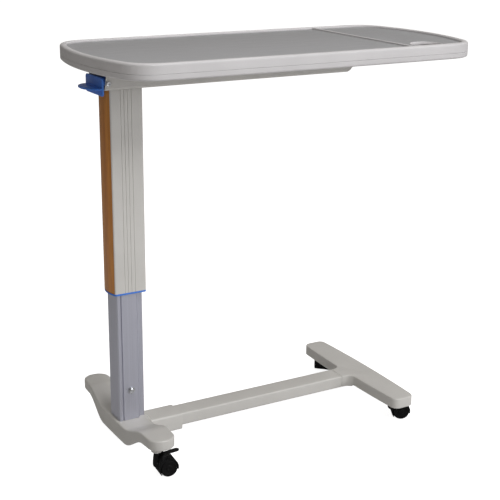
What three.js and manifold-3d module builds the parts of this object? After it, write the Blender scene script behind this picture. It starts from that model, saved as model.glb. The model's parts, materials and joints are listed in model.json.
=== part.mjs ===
// Height-adjustable overbed table on four twin-wheel casters.
// Millimetres, +Z up. The origin is on the floor under the middle of the tray. X runs along the
// tray, with the column near its -X end, and Y runs across it.

import * as THREE from "three";
import { mergeVertices } from "three/addons/utils/BufferGeometryUtils.js";
import Module from "manifold-3d";

const wasm = await Module();
wasm.setup();

// ---------------------------------------------------------------- driving dimensions
const GAP = 0.3; // assembly clearance between neighbouring pieces

const TRAY = {
  length: 898,
  width: 436,
  endBow: 40,
  sideBow: 5,
  corner: 54,
  bottom: 874,
  seam: 887,
  top: 908.5,
  surface: 903.5,
  wall: 4,
  rim: 12,
  edgeRound: 4.5,
  dividerX: 252,
  dividerWidth: 6,
  dividerRise: 3.5,
  cupX: 317,
  cupY: -160,
  cupRadius: 38,
  cupDepth: 13,
};

const ARM = {
  left: -411,
  right: 199,
  halfWidth: 46,
  bottom: 834.5,
  sheet: 2.5,
  lip: 15,
  bevel: 4,
  endChamfer: 11,
  mouthSlope: 5.5,
};

const COLUMN_X = -358;
const INNER = { halfWidth: 32, halfDepth: 26, recessDepth: 18, bottom: 83, top: 612 };
const SLEEVE = { halfWidth: 38, halfDepth: 31, boreX: 34, boreY: 28.5, bottom: 388, radius: 4 };
const RING = { bottom: 383.5, collarTop: 424 };
const STRIP = { halfWidth: 29, depth: 2, dome: 4.8 };
const SPIGOT_TOP = 190;
const COLUMN_BOLT_Z = 154;
const COLUMN_BOLT_X = -2.3;

const COLUMN_FOOT = {
  x: -361,
  halfLength: 204,
  endHalfWidth: 28.5,
  bow: 8,
  corner: 28,
  midTop: 83,
  endTop: 107,
  midBottom: 44,
  endBottom: 83,
  rampStart: 60,
  rampEnd: 150,
  wall: 4,
  roof: 7,
  solidHalf: 42,
};
const END_FOOT = {
  x: 274.5,
  halfLength: 204,
  endHalfWidth: 28.4,
  bow: 6,
  corner: 17,
  top: 67.6,
  bottom: 42.8,
  fillet: 18,
  wall: 3.5,
  hollowTop: 61.5,
};
const TUBE = { halfWidth: 26, bottom: 38, top: 68, wall: 2, radius: 4, left: -300, right: 213.4 };
const SOCKET = { halfWidth: 30.2, bottom: 30, top: 70, right: -235.6 };
const PLUG_LENGTH = 50;

const CASTER = {
  wheelRadius: 20,
  trail: 22,
  webHalf: 5,
  wheelWidth: 15,
  roomRadius: 20.6,
  hoodRadius: 22.6,
  hoodHalf: 20.6,
  turretRadius: 23.5,
  turretBottom: 42.3,
  housingRadius: 9,
  hoodTop: 56,
  stemRadius: 5,
  flangeTop: 58.3,
  stemTop: 66,
  axleRadius: 3,
  bossRadius: 12,
};
const CASTERS = [
  { tag: "column_front", x: -358, y: -150, turn: -5, brake: true },
  { tag: "column_back", x: -358, y: 150, turn: 0, brake: true },
  { tag: "end_front", x: 272, y: -155, turn: -28, brake: false },
  { tag: "end_back", x: 272, y: 155, turn: 45, brake: false },
];
const BRAKE = { pivotX: 16, pivotZ: 49, tongueHalf: 6, padHalf: 6.8, padEnd: 52, tilt: 6 };

const PIVOT = { x: -403.5, z: 848.8, radius: 4 };
const GAS = { radius: 14, bore: 12, bottom: 190.6, top: 560, guide: 545, rodRadius: 5, pistonTop: 492 };
const ROD_TOP = 840;
const PIN = { radius: 3, bottom: 835, top: 847.2 };

// ---------------------------------------------------------------- finishes
const finish = (color, roughness, metalness = 0) =>
  new THREE.MeshStandardMaterial({ color, roughness, metalness });

const paint = finish(0xb4b2ac, 0.5);
const shell = finish(0xc9c6c6, 0.45);
const panel = finish(0x959595, 0.6);
const anodised = finish(0xa3a3ae, 0.4, 0.8);
const beech = finish(0xa56f41, 0.55);
const blue = finish(0x3f63a8, 0.4);
const zinc = finish(0xc4c6c8, 0.3, 1);
const steel = finish(0x8d8f92, 0.35, 1);
const blackPlastic = finish(0x17181a, 0.5);
const tread = finish(0x222326, 0.75);
const glidePlastic = finish(0xe4e4dc, 0.5);

// ---------------------------------------------------------------- solids
function solidOf(geometry) {
  const bare = geometry.index ? geometry.toNonIndexed() : geometry.clone();
  bare.deleteAttribute("normal");
  bare.deleteAttribute("uv");
  const merged = mergeVertices(bare, 1e-4);
  return new wasm.Manifold(
    new wasm.Mesh({
      numProp: 3,
      vertProperties: merged.attributes.position.array,
      triVerts: new Uint32Array(merged.index.array),
    }),
  );
}

function geometryOf(solid) {
  const mesh = solid.getMesh();
  const indexed = new THREE.BufferGeometry();
  indexed.setAttribute("position", new THREE.BufferAttribute(new Float32Array(mesh.vertProperties), 3));
  indexed.setIndex(new THREE.BufferAttribute(new Uint32Array(mesh.triVerts), 1));
  const flat = indexed.toNonIndexed();
  flat.computeVertexNormals();
  return flat;
}

const joined = (...solids) => solids.reduce((sum, next) => sum.add(next));
const cut = (solid, ...tools) => tools.reduce((rest, tool) => rest.subtract(tool), solid);

function polygon(points) {
  return new THREE.Shape(points.map(([x, y]) => new THREE.Vector2(x, y)));
}

function roundedRect(halfX, halfY, radius, centreX = 0, centreY = 0) {
  const shape = new THREE.Shape();
  const [left, right] = [centreX - halfX, centreX + halfX];
  const [low, high] = [centreY - halfY, centreY + halfY];
  shape.moveTo(left + radius, low);
  shape.lineTo(right - radius, low);
  shape.absarc(right - radius, low + radius, radius, -Math.PI / 2, 0);
  shape.lineTo(right, high - radius);
  shape.absarc(right - radius, high - radius, radius, 0, Math.PI / 2);
  shape.lineTo(left + radius, high);
  shape.absarc(left + radius, high - radius, radius, Math.PI / 2, Math.PI);
  shape.lineTo(left, low + radius);
  shape.absarc(left + radius, low + radius, radius, Math.PI, Math.PI * 1.5);
  return shape;
}

function extruded(shape, length, segments) {
  return new THREE.ExtrudeGeometry(shape, {
    depth: length,
    bevelEnabled: false,
    curveSegments: segments,
  });
}

// A shape drawn in X and Y, standing from z = from to z = to.
function alongZ(shape, from, to, segments = 5) {
  return solidOf(extruded(shape, to - from, segments).translate(0, 0, from));
}

// A shape drawn in Y and Z, running from x = from to x = to.
function alongX(shape, from, to, segments = 5) {
  const turn = new THREE.Matrix4().set(0, 0, 1, from, 1, 0, 0, 0, 0, 1, 0, 0, 0, 0, 0, 1);
  return solidOf(extruded(shape, to - from, segments).applyMatrix4(turn));
}

// A shape drawn in Z and X, running from y = from to y = to.
function alongY(shape, from, to, segments = 5) {
  const turn = new THREE.Matrix4().set(0, 1, 0, 0, 0, 0, 1, from, 1, 0, 0, 0, 0, 0, 0, 1);
  return solidOf(extruded(shape, to - from, segments).applyMatrix4(turn));
}

function box(x0, x1, y0, y1, z0, z1) {
  const size = new THREE.BoxGeometry(x1 - x0, y1 - y0, z1 - z0);
  return solidOf(size.translate((x0 + x1) / 2, (y0 + y1) / 2, (z0 + z1) / 2));
}

function roundBar(radius, x, y, from, to, segments = 16) {
  const bar = new THREE.CylinderGeometry(radius, radius, to - from, segments);
  return solidOf(bar.rotateX(Math.PI / 2).translate(x, y, (from + to) / 2));
}

function crossBar(radius, x, z, from, to, segments = 16) {
  const bar = new THREE.CylinderGeometry(radius, radius, to - from, segments);
  return solidOf(bar.translate(x, (from + to) / 2, z));
}

// A turned piece on the Z axis through (x, y): the profile is [radius, z] from bottom to top.
function turned(profile, x, y, segments = 16) {
  const points = profile.map(([radius, z]) => new THREE.Vector2(radius, z));
  const lathe = new THREE.LatheGeometry(points, segments);
  return solidOf(lathe.rotateX(Math.PI / 2).translate(x, y, 0));
}

const table = new THREE.Group();

function piece(name, solid, material, parent = table) {
  const mesh = new THREE.Mesh(geometryOf(solid), material);
  mesh.name = name;
  parent.add(mesh);
  return mesh;
}

// ---------------------------------------------------------------- tray
// Ends and sides are shallow parabolas, with rounded corners. inset moves every edge inwards.
function trayOutline(inset) {
  const halfX = TRAY.length / 2 - inset;
  const halfY = TRAY.width / 2 - inset;
  const sideAt = (x) => halfY - TRAY.sideBow * (x / halfX) ** 2;
  const endAt = (y) => halfX - TRAY.endBow * (y / halfY) ** 2;
  const cornerX = endAt(halfY - TRAY.sideBow);
  const cornerY = sideAt(cornerX);
  const sideEnd = cornerX - TRAY.corner + inset * 0.6;
  const endEnd = cornerY - TRAY.corner + inset * 0.6;
  const shape = new THREE.Shape();
  shape.moveTo(-sideEnd, -sideAt(sideEnd));
  shape.quadraticCurveTo(0, -(2 * halfY - sideAt(sideEnd)), sideEnd, -sideAt(sideEnd));
  shape.quadraticCurveTo(cornerX, -cornerY, endAt(endEnd), -endEnd);
  shape.quadraticCurveTo(2 * halfX - endAt(endEnd), 0, endAt(endEnd), endEnd);
  shape.quadraticCurveTo(cornerX, cornerY, sideEnd, sideAt(sideEnd));
  shape.quadraticCurveTo(0, 2 * halfY - sideAt(sideEnd), -sideEnd, sideAt(sideEnd));
  shape.quadraticCurveTo(-cornerX, cornerY, -endAt(endEnd), endEnd);
  shape.quadraticCurveTo(-(2 * halfX - endAt(endEnd)), 0, -endAt(endEnd), -endEnd);
  shape.quadraticCurveTo(-cornerX, -cornerY, -sideEnd, -sideAt(sideEnd));
  return shape;
}

const OUTLINE_SEGMENTS = 6;
const trayBlock = (inset, from, to) => alongZ(trayOutline(inset), from, to, OUTLINE_SEGMENTS);

// The whole tray as one block with rounded upper and lower edges.
function trayEnvelope() {
  const round = TRAY.edgeRound;
  const rounded = new THREE.ExtrudeGeometry(trayOutline(round), {
    depth: TRAY.top - TRAY.bottom - 2 * round,
    bevelEnabled: true,
    bevelThickness: round,
    bevelSize: round,
    bevelSegments: 2,
    curveSegments: OUTLINE_SEGMENTS,
  });
  return solidOf(rounded.translate(0, 0, TRAY.bottom + round));
}

const everything = (from, to) => box(-600, 600, -400, 400, from, to);
const TRAY_SCREWS = [
  [-300, -38],
  [-300, 38],
  [150, -38],
  [150, 38],
];
const PANEL_THICKNESS = 2;
const TOP_FLOOR = TRAY.surface - PANEL_THICKNESS - 4;

function addTray() {
  const envelope = trayEnvelope();
  const floorTop = TRAY.bottom + 3;
  const hollow = trayBlock(TRAY.wall, floorTop, TRAY.seam + 1);
  const lower = cut(envelope.intersect(everything(TRAY.bottom - 1, TRAY.seam - GAP)), hollow);
  const bosses = TRAY_SCREWS.map(([x, y]) => roundBar(7, x, y, floorTop - 1, TRAY.seam - 1, 10));
  const pilotHoles = TRAY_SCREWS.map(([x, y]) => roundBar(2.8, x, y, TRAY.bottom - 1, TRAY.seam - 2, 10));
  piece("tray_bottom", cut(joined(lower, ...bosses), ...pilotHoles), shell);

  const recess = trayBlock(TRAY.rim, TRAY.surface - PANEL_THICKNESS, TRAY.top + 1);
  const underside = trayBlock(TRAY.wall, TRAY.seam - 1, TOP_FLOOR);
  const dividerLeft = TRAY.dividerX - TRAY.dividerWidth / 2;
  const dividerRight = TRAY.dividerX + TRAY.dividerWidth / 2;
  const ridge = trayBlock(TRAY.rim - 1, TOP_FLOOR + 1, TRAY.surface + TRAY.dividerRise).intersect(
    box(dividerLeft, dividerRight, -400, 400, 0, 2000),
  );
  const cupFloor = TRAY.surface - TRAY.cupDepth;
  const cupWall = roundBar(TRAY.cupRadius + 3, TRAY.cupX, TRAY.cupY, cupFloor - 2.5, TOP_FLOOR + 1, 24);
  const cup = roundBar(TRAY.cupRadius, TRAY.cupX, TRAY.cupY, cupFloor, TRAY.top + 1, 24);
  const upper = cut(envelope.intersect(everything(TRAY.seam, TRAY.top + 1)), recess, underside);
  piece("tray_top", cut(joined(upper, ridge, cupWall), cup), shell);

  const sheet = trayBlock(TRAY.rim + GAP, TRAY.surface - PANEL_THICKNESS + 0.02, TRAY.surface);
  const mainSide = box(-600, dividerLeft - GAP, -400, 400, 0, 2000);
  const otherSide = box(dividerRight + GAP, 600, -400, 400, 0, 2000);
  const cupOpening = roundBar(TRAY.cupRadius + 0.5, TRAY.cupX, TRAY.cupY, 800, 1000, 24);
  piece("tray_panel_main", sheet.intersect(mainSide), panel);
  piece("tray_panel_side", cut(sheet.intersect(otherSide), cupOpening), panel);
}

// ---------------------------------------------------------------- support arm
const ARM_TOP = TRAY.bottom - GAP;

function addArm() {
  const { left, right, halfWidth, bottom, sheet, lip, bevel, endChamfer, mouthSlope } = ARM;
  const outer = polygon([
    [-halfWidth + bevel, bottom],
    [halfWidth - bevel, bottom],
    [halfWidth, bottom + bevel],
    [halfWidth, ARM_TOP],
    [-halfWidth, ARM_TOP],
    [-halfWidth, bottom + bevel],
  ]);
  const innerHalf = halfWidth - sheet;
  const inner = polygon([
    [-innerHalf + bevel, bottom + sheet],
    [innerHalf - bevel, bottom + sheet],
    [innerHalf, bottom + sheet + bevel],
    [innerHalf, ARM_TOP - sheet],
    [-innerHalf, ARM_TOP - sheet],
    [-innerHalf, bottom + sheet + bevel],
  ]);
  // A wedge off the lower corner of the far end, drawn in Z and X.
  const endWedge = (x, z) =>
    alongY(
      polygon([
        [z - 1, x - endChamfer - 1],
        [z - 1, x + 20],
        [z + endChamfer + 20, x + 20],
      ]),
      -halfWidth - 1,
      halfWidth + 1,
    );
  const mouth = alongY(
    polygon([
      [bottom - 1, left - 1],
      [ARM_TOP + 1, left - 1],
      [ARM_TOP + 1, left + mouthSlope],
    ]),
    -halfWidth - 1,
    halfWidth + 1,
  );
  const block = cut(alongX(outer, left, right), endWedge(right, bottom));
  const hollow = cut(alongX(inner, left - 5, right - sheet), endWedge(right - sheet, bottom + sheet));
  const slotHalf = halfWidth - lip;
  const slot = box(left - 5, right - sheet, -slotHalf, slotHalf, ARM_TOP - sheet - 1, ARM_TOP + 1);
  const rodHole = roundBar(8, COLUMN_X, 0, bottom - 1, bottom + sheet + 1);
  const pivotHole = crossBar(PIVOT.radius + GAP, PIVOT.x, PIVOT.z, -halfWidth - 1, halfWidth + 1);
  const floorHole = ([x, y]) => roundBar(3 + GAP, x, y, bottom - 1, bottom + sheet + 1, 10);
  const lipHole = ([x, y]) => roundBar(2.8, x, y, ARM_TOP - sheet - 1, ARM_TOP + 1, 10);
  const screwHoles = [...HEAD_SCREWS.map(floorHole), ...TRAY_SCREWS.map(lipHole)];
  piece("support_arm", cut(block, hollow, slot, mouth, rodHole, pivotHole, ...screwHoles), paint);

  TRAY_SCREWS.forEach(([x, y], index) => {
    const head = ARM_TOP - sheet - GAP;
    const profile = [
      [0, head - 3],
      [4.6, head - 2.4],
      [4.6, head],
      [2.5, head],
      [2.5, TRAY.bottom + 9],
      [0, TRAY.bottom + 11],
    ];
    piece("tray_screw_" + (index + 1), turned(profile, x, y, 10), zinc);
  });
}

// ---------------------------------------------------------------- sleeve and its head
const HEAD_SCREWS = [
  [COLUMN_X - 22, 18],
  [COLUMN_X + 22, -18],
];
const SLEEVE_TOP = ARM.bottom - GAP;

// A bowed side in plan, from a flat back at x = inner to a face that swells outwards.
function bowedSide(inner, face, half, side) {
  const shape = new THREE.Shape();
  shape.moveTo(inner, -half);
  shape.lineTo(face, -half);
  shape.quadraticCurveTo(face + side * STRIP.dome * 2, 0, face, half);
  shape.lineTo(inner, half);
  return shape;
}

// Shallow grooves down the front and back faces of the sleeve.
const FLUTES = [-13.6, -5.8, 2.2, 10.8];
const FLUTE_WIDTH = 1.6;
const FLUTE_DEPTH = 0.8;

function addSleeve() {
  const { halfWidth, halfDepth, boreX, boreY, bottom, radius } = SLEEVE;
  const top = SLEEVE_TOP;
  const body = alongZ(roundedRect(halfWidth, halfDepth, radius, COLUMN_X), bottom, top);
  const bore = alongZ(roundedRect(boreX, boreY, 2, COLUMN_X), bottom - 1, top + 1, 3);
  const tools = [bore];
  for (const side of [-1, 1]) {
    const face = COLUMN_X + side * halfWidth;
    const [near, far] = [face - side * STRIP.depth, face + side * 2];
    const [y0, y1] = [-STRIP.halfWidth, STRIP.halfWidth];
    tools.push(box(Math.min(near, far), Math.max(near, far), y0, y1, bottom - 1, top + 1));
    for (const flute of FLUTES) {
      const y = side * halfDepth;
      const x = COLUMN_X + flute;
      const groove = polygon([
        [x - FLUTE_WIDTH / 2, y + side],
        [x - FLUTE_WIDTH / 2, y],
        [x, y - side * FLUTE_DEPTH],
        [x + FLUTE_WIDTH / 2, y],
        [x + FLUTE_WIDTH / 2, y + side],
      ]);
      tools.push(alongZ(groove, bottom - 1, top + 1));
    }
  }
  piece("outer_sleeve", cut(body, ...tools), paint);

  for (const [name, side] of [["left", -1], ["right", 1]]) {
    const face = COLUMN_X + side * halfWidth;
    const half = STRIP.halfWidth - GAP;
    const strip = bowedSide(face - side * (STRIP.depth - GAP), face, half, side);
    piece("wood_strip_" + name, alongZ(strip, bottom + GAP, top - GAP, 8), beech);
  }

  const flangeTop = bottom - GAP;
  const plate = alongZ(roundedRect(halfWidth, halfDepth, radius, COLUMN_X), RING.bottom, flangeTop);
  const bows = [-1, 1].map((side) => {
    const face = COLUMN_X + side * halfWidth;
    const bow = bowedSide(face - side * STRIP.depth, face, STRIP.halfWidth, side);
    return alongZ(bow, RING.bottom, flangeTop, 8);
  });
  const collarX = boreX - GAP;
  const collar = alongZ(roundedRect(collarX, boreY - GAP, 2, COLUMN_X), bottom - 1, RING.collarTop, 3);
  const passage = alongZ(columnOutline(0.5, false), RING.bottom - 1, RING.collarTop + 1);
  piece("guide_ring", cut(joined(plate, ...bows, collar), passage), blue);

  const block = alongZ(roundedRect(boreX - GAP, boreY - GAP, 2, COLUMN_X), 808, top - GAP, 3);
  const rodHole = roundBar(GAS.rodRadius + GAP, COLUMN_X, 0, 800, top + 1);
  const pilots = HEAD_SCREWS.map(([x, y]) => roundBar(3 + GAP, x, y, 812, top + 1, 12));
  piece("head_block", cut(block, rodHole, ...pilots), steel);

  HEAD_SCREWS.forEach(([x, y], index) => {
    const seat = ARM.bottom + ARM.sheet + GAP;
    const profile = [
      [0, 814],
      [3, 816],
      [3, seat],
      [5.2, seat],
      [5.2, seat + 1.8],
      [0, seat + 3.4],
    ];
    piece("head_screw_" + (index + 1), turned(profile, x, y, 10), zinc);
  });
}

// ---------------------------------------------------------------- inner column
// The extrusion's outline, drawn around the column axis: a narrow edge strip and a groove on the
// -X side of each broad face, and a chamfered recess on the +X side. grow pushes it outwards.
function columnOutline(grow, grooved) {
  const x = INNER.halfWidth + grow;
  const y = INNER.halfDepth + grow;
  const recess = INNER.recessDepth + grow;
  const groove = [
    [-24.5, y],
    [-24, y - 2.6],
    [-21.4, y - 2.6],
    [-20.9, y],
  ];
  const lower = [
    [-x, -y + 2],
    [-x + 2, -y],
    ...(grooved ? groove.map(([gx, gy]) => [gx, -gy]) : []),
    [15.2 + grow, -y],
    [20 + grow, -recess],
    [x - 1, -recess],
    [x, -recess + 1],
  ];
  const upper = lower.map(([px, py]) => [px, -py]).reverse();
  return polygon([...lower, ...upper].map(([px, py]) => [COLUMN_X + px, py]));
}

// The hollow inside the extrusion: a plus-shaped section, deepest behind the broad faces.
function columnBore(shrink) {
  const wide = 27 - shrink;
  const shallow = 14.8 - shrink;
  const deep = 22 - shrink;
  const [left, right] = [-17 + shrink, 12 - shrink];
  const points = [
    [-wide, -shallow],
    [left, -shallow],
    [left, -deep],
    [right, -deep],
    [right, -shallow],
    [wide, -shallow],
    [wide, shallow],
    [right, shallow],
    [right, deep],
    [left, deep],
    [left, shallow],
    [-wide, shallow],
  ];
  return polygon(points.map(([x, y]) => [COLUMN_X + x, y]));
}

const SPIGOT_SCREWS = [
  [COLUMN_X - 2.5, -12],
  [COLUMN_X - 2.5, 12],
];

function addColumn() {
  const boltX = COLUMN_X + COLUMN_BOLT_X;
  const boltHole = crossBar(4 + GAP, boltX, COLUMN_BOLT_Z, -60, 60, 12);
  const bottom = INNER.bottom + GAP;
  const tube = alongZ(columnOutline(0, true), bottom, INNER.top);
  const bore = alongZ(columnBore(0), bottom - 1, INNER.top + 1);
  piece("inner_column", cut(tube, bore, boltHole), anodised);

  const spigot = alongZ(columnBore(GAP), bottom, SPIGOT_TOP);
  const taps = SPIGOT_SCREWS.map(([x, y]) => roundBar(4 + GAP, x, y, 80, 112, 12));
  piece("column_spigot", cut(spigot, boltHole, ...taps), steel);

  SPIGOT_SCREWS.forEach(([x, y], index) => {
    const seat = COLUMN_FOOT.midBottom + 7;
    const profile = [
      [0, seat - 5.5],
      [6.5, seat - 5],
      [6.5, seat],
      [4, seat],
      [4, 108],
      [0, 110],
    ];
    piece("spigot_screw_" + (index + 1), turned(profile, x, y, 10), zinc);
  });

  // The cross bolt: a washer and a low round head in front, a hexagon nut behind.
  const face = INNER.halfDepth;
  const shank = crossBar(4, boltX, COLUMN_BOLT_Z, -face - 3, face + 8, 12);
  const head = crossBar(6.4, boltX, COLUMN_BOLT_Z, -face - 6.2, -face - 2.1, 18);
  const washer = crossBar(8.2, boltX, COLUMN_BOLT_Z, -face - 1.8, -face - GAP, 20);
  const nut = crossBar(7.4, boltX, COLUMN_BOLT_Z, face + GAP, face + 6.5, 6);
  piece("column_bolt", joined(shank, head), zinc);
  piece("column_washer", cut(washer, boltHole), zinc);
  piece("column_nut", cut(nut, boltHole), zinc);

  const cap = INNER.top;
  const glideShape = roundedRect(SLEEVE.boreX - GAP, SLEEVE.boreY - GAP, 2, COLUMN_X);
  const glide = alongZ(glideShape, cap - 36, cap + 4, 3);
  const seat = alongZ(columnOutline(GAP, false), cap - 37, cap + GAP);
  const rodHole = roundBar(GAS.radius + 1, COLUMN_X, 0, cap - 1, cap + 5, 18);
  piece("upper_glide", cut(glide, seat, rodHole), glidePlastic);
}

// ---------------------------------------------------------------- gas spring
function addGasSpring() {
  const { radius, bore, bottom, top, guide, rodRadius, pistonTop } = GAS;
  const cylinder = turned(
    [
      [0, bottom],
      [radius, bottom],
      [radius, top],
      [rodRadius + GAP, top],
      [rodRadius + GAP, guide],
      [bore, guide],
      [bore, bottom + 8],
      [0, bottom + 8],
    ],
    COLUMN_X,
    0,
    18,
  );
  piece("gas_cylinder", cylinder, blackPlastic);
  piece("gas_piston", roundBar(bore - GAP, COLUMN_X, 0, pistonTop - 14, pistonTop, 18), steel);
  const rod = roundBar(rodRadius, COLUMN_X, 0, pistonTop + GAP, ROD_TOP, 14);
  const pinBore = roundBar(PIN.radius + GAP, COLUMN_X, 0, ROD_TOP - 16, ROD_TOP + 1, 12);
  piece("gas_rod", cut(rod, pinBore), steel);
  piece("release_pin", roundBar(PIN.radius, COLUMN_X, 0, PIN.bottom, PIN.top, 12), zinc);
  const seat = ARM.bottom + ARM.sheet + GAP;
  const nut = roundBar(9, COLUMN_X, 0, seat, ROD_TOP - 0.4, 6);
  const thread = roundBar(rodRadius + GAP, COLUMN_X, 0, seat - 1, ROD_TOP + 1, 14);
  piece("rod_nut", cut(nut, thread), zinc);
}

// ---------------------------------------------------------------- release lever
const LEVER = {
  plateOuter: -416.5,
  plateInner: -412.5,
  halfWidth: 45,
  top: 860,
  bottom: 822.5,
  paddleZ: 837.5,
  paddleReach: 30,
  paddleThick: 3.5,
  armHalf: 6,
  armEnd: -350,
  armBottom: 848,
  armTop: 856,
};

function addLever() {
  const { plateOuter, plateInner, halfWidth, top, bottom, paddleZ, paddleReach, paddleThick } = LEVER;
  const midZ = (top + bottom) / 2;
  const plateShape = roundedRect(halfWidth, (top - bottom) / 2, 6, 0, midZ);
  const plate = alongX(plateShape, plateOuter, plateInner, 3);
  // Half an ellipse in plan, standing out from the plate.
  const paddleShape = new THREE.Shape();
  paddleShape.moveTo(plateOuter + 1, -halfWidth);
  paddleShape.lineTo(plateOuter + 1, halfWidth);
  paddleShape.absellipse(plateOuter, 0, paddleReach, halfWidth, Math.PI / 2, Math.PI * 1.5);
  const paddle = alongZ(paddleShape, paddleZ - paddleThick / 2, paddleZ + paddleThick / 2, 14);
  const web = box(plateInner - 1, PIVOT.x + 8, -38, 38, LEVER.armBottom - 2, LEVER.armTop);
  const boss = crossBar(8, PIVOT.x, PIVOT.z, -43, 43, 16);
  const arm = box(PIVOT.x, LEVER.armEnd, -LEVER.armHalf, LEVER.armHalf, LEVER.armBottom, LEVER.armTop);
  const hole = crossBar(PIVOT.radius + GAP, PIVOT.x, PIVOT.z, -60, 60, 14);
  piece("release_lever", cut(joined(plate, paddle, web, boss, arm), hole), blue);

  const face = ARM.halfWidth;
  const shank = crossBar(PIVOT.radius, PIVOT.x, PIVOT.z, -face - 1, face + 8, 14);
  const head = crossBar(5.6, PIVOT.x, PIVOT.z, -face - 4, -face - GAP, 16);
  piece("lever_pivot_bolt", joined(shank, head), zinc);
  const nut = crossBar(7.2, PIVOT.x, PIVOT.z, face + GAP, face + 6.5, 6);
  piece("lever_pivot_nut", cut(nut, hole), zinc);
}

// ---------------------------------------------------------------- base
// A foot in plan: bowed sides that are widest in the middle, and rounded ends.
function footPlan(foot) {
  const { x, halfLength, endHalfWidth, bow, corner } = foot;
  const straight = halfLength - corner;
  const widthAt = (y) => endHalfWidth + bow * (1 - (y / halfLength) ** 2);
  const sideEnd = widthAt(straight);
  const crown = 2 * (endHalfWidth + bow) - sideEnd;
  const flat = sideEnd - corner;
  const shape = new THREE.Shape();
  shape.moveTo(x + sideEnd, -straight);
  shape.quadraticCurveTo(x + crown, 0, x + sideEnd, straight);
  shape.absarc(x + flat, straight, corner, 0, Math.PI / 2);
  shape.lineTo(x - flat, halfLength);
  shape.absarc(x - flat, straight, corner, Math.PI / 2, Math.PI);
  shape.quadraticCurveTo(x - crown, 0, x - sideEnd, -straight);
  shape.absarc(x - flat, -straight, corner, Math.PI, Math.PI * 1.5);
  shape.lineTo(x + flat, -halfLength);
  shape.absarc(x + flat, -straight, corner, Math.PI * 1.5, Math.PI * 2);
  return shape;
}

// The same foot shrunk by its wall, for the hollow underneath.
const insideOf = (foot) => ({
  ...foot,
  halfLength: foot.halfLength - foot.wall,
  endHalfWidth: foot.endHalfWidth - foot.wall,
  corner: foot.corner - foot.wall,
});

const smooth = (t) => {
  const s = Math.min(Math.max(t, 0), 1);
  return s * s * (3 - 2 * s);
};

// The column foot from the side: low in the middle, rising through a ramp to each end. drop
// lowers the whole outline.
function footSide(drop = 0) {
  const { halfLength, midTop, endTop, midBottom, endBottom, rampStart, rampEnd } = COLUMN_FOOT;
  const STEPS = 6;
  const rise = (y) => smooth((y - rampStart) / (rampEnd - rampStart));
  const stations = [0];
  for (let step = 0; step <= STEPS; step += 1) {
    stations.push(rampStart + ((rampEnd - rampStart) * step) / STEPS);
  }
  stations.push(halfLength + 1);
  const bottomRight = stations.map((y) => [y, midBottom + (endBottom - midBottom) * rise(y) + drop]);
  const topRight = stations.map((y) => [y, midTop + (endTop - midTop) * rise(y) + drop]).reverse();
  const right = [...bottomRight, ...topRight];
  const left = right
    .filter(([y]) => y > 0)
    .map(([y, z]) => [-y, z])
    .reverse();
  return polygon([...right, ...left]);
}

const LEFT_SCREW_X = -268;
const RIGHT_SCREW_X = 188;
const TUBE_HALF_HEIGHT = (TUBE.top - TUBE.bottom) / 2;
const TUBE_Z = (TUBE.top + TUBE.bottom) / 2;
const PLUG_START = TUBE.right + GAP;
const tubeScrewHole = (x, from, to) => roundBar(3 + GAP, x, 0, from, to, 10);

// A round boss under a foot that carries one caster stem.
function casterBoss({ x, y }, top) {
  return roundBar(CASTER.bossRadius, x, y, CASTER.flangeTop + GAP, top);
}

function stemHole({ x, y }) {
  const bottom = CASTER.flangeTop - 1;
  return roundBar(CASTER.stemRadius + GAP, x, y, bottom, CASTER.stemTop + 0.5, 14);
}

function addColumnFoot() {
  const foot = COLUMN_FOOT;
  const [x0, x1] = [foot.x - 60, foot.x + 60];
  const body = alongX(footSide(), x0, x1).intersect(alongZ(footPlan(foot), 0, 200));
  const below = alongX(footSide(-foot.roof), x0, x1).intersect(
    alongZ(footPlan(insideOf(foot)), 0, 200),
  );
  const underside = cut(below, box(x0, x1, -foot.solidHalf, foot.solidHalf, 0, 200));

  const socketHalf = (SOCKET.top - SOCKET.bottom) / 2;
  const socketZ = (SOCKET.top + SOCKET.bottom) / 2;
  const socketShape = roundedRect(SOCKET.halfWidth, socketHalf, 5, 0, socketZ);
  const socketStart = foot.x + foot.endHalfWidth - 5.5;
  const socket = alongX(socketShape, socketStart, SOCKET.right, 4);
  // A sloping web that carries the foot's top down to the socket.
  const slope = alongY(
    polygon([
      [SOCKET.top - 6, socketStart],
      [foot.midTop, socketStart],
      [foot.midTop, foot.x + 36],
      [SOCKET.top - 0.5, foot.x + 50],
      [SOCKET.top - 6, foot.x + 50],
    ]),
    -24,
    24,
  );
  const boreHalf = [TUBE.halfWidth + GAP, TUBE_HALF_HEIGHT + GAP];
  const boreShape = roundedRect(...boreHalf, TUBE.radius, 0, TUBE_Z);
  const bore = alongX(boreShape, TUBE.left - GAP, SOCKET.right + 1, 4);

  const casters = CASTERS.filter(({ x }) => x < 0);
  const bosses = casters.map((caster) => casterBoss(caster, foot.endTop - foot.roof + 2));
  const screwPits = SPIGOT_SCREWS.flatMap(([x, y]) => [
    roundBar(4 + GAP, x, y, foot.midBottom - 1, foot.midTop + 1, 12),
    roundBar(7.2, x, y, foot.midBottom - 1, foot.midBottom + 7),
  ]);
  const tubeScrew = tubeScrewHole(LEFT_SCREW_X, SOCKET.bottom - 1, TUBE.bottom + 1);
  const casting = joined(cut(body, underside), socket, slope, ...bosses);
  piece("column_foot", cut(casting, bore, tubeScrew, ...casters.map(stemHole), ...screwPits), paint);
}

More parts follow.
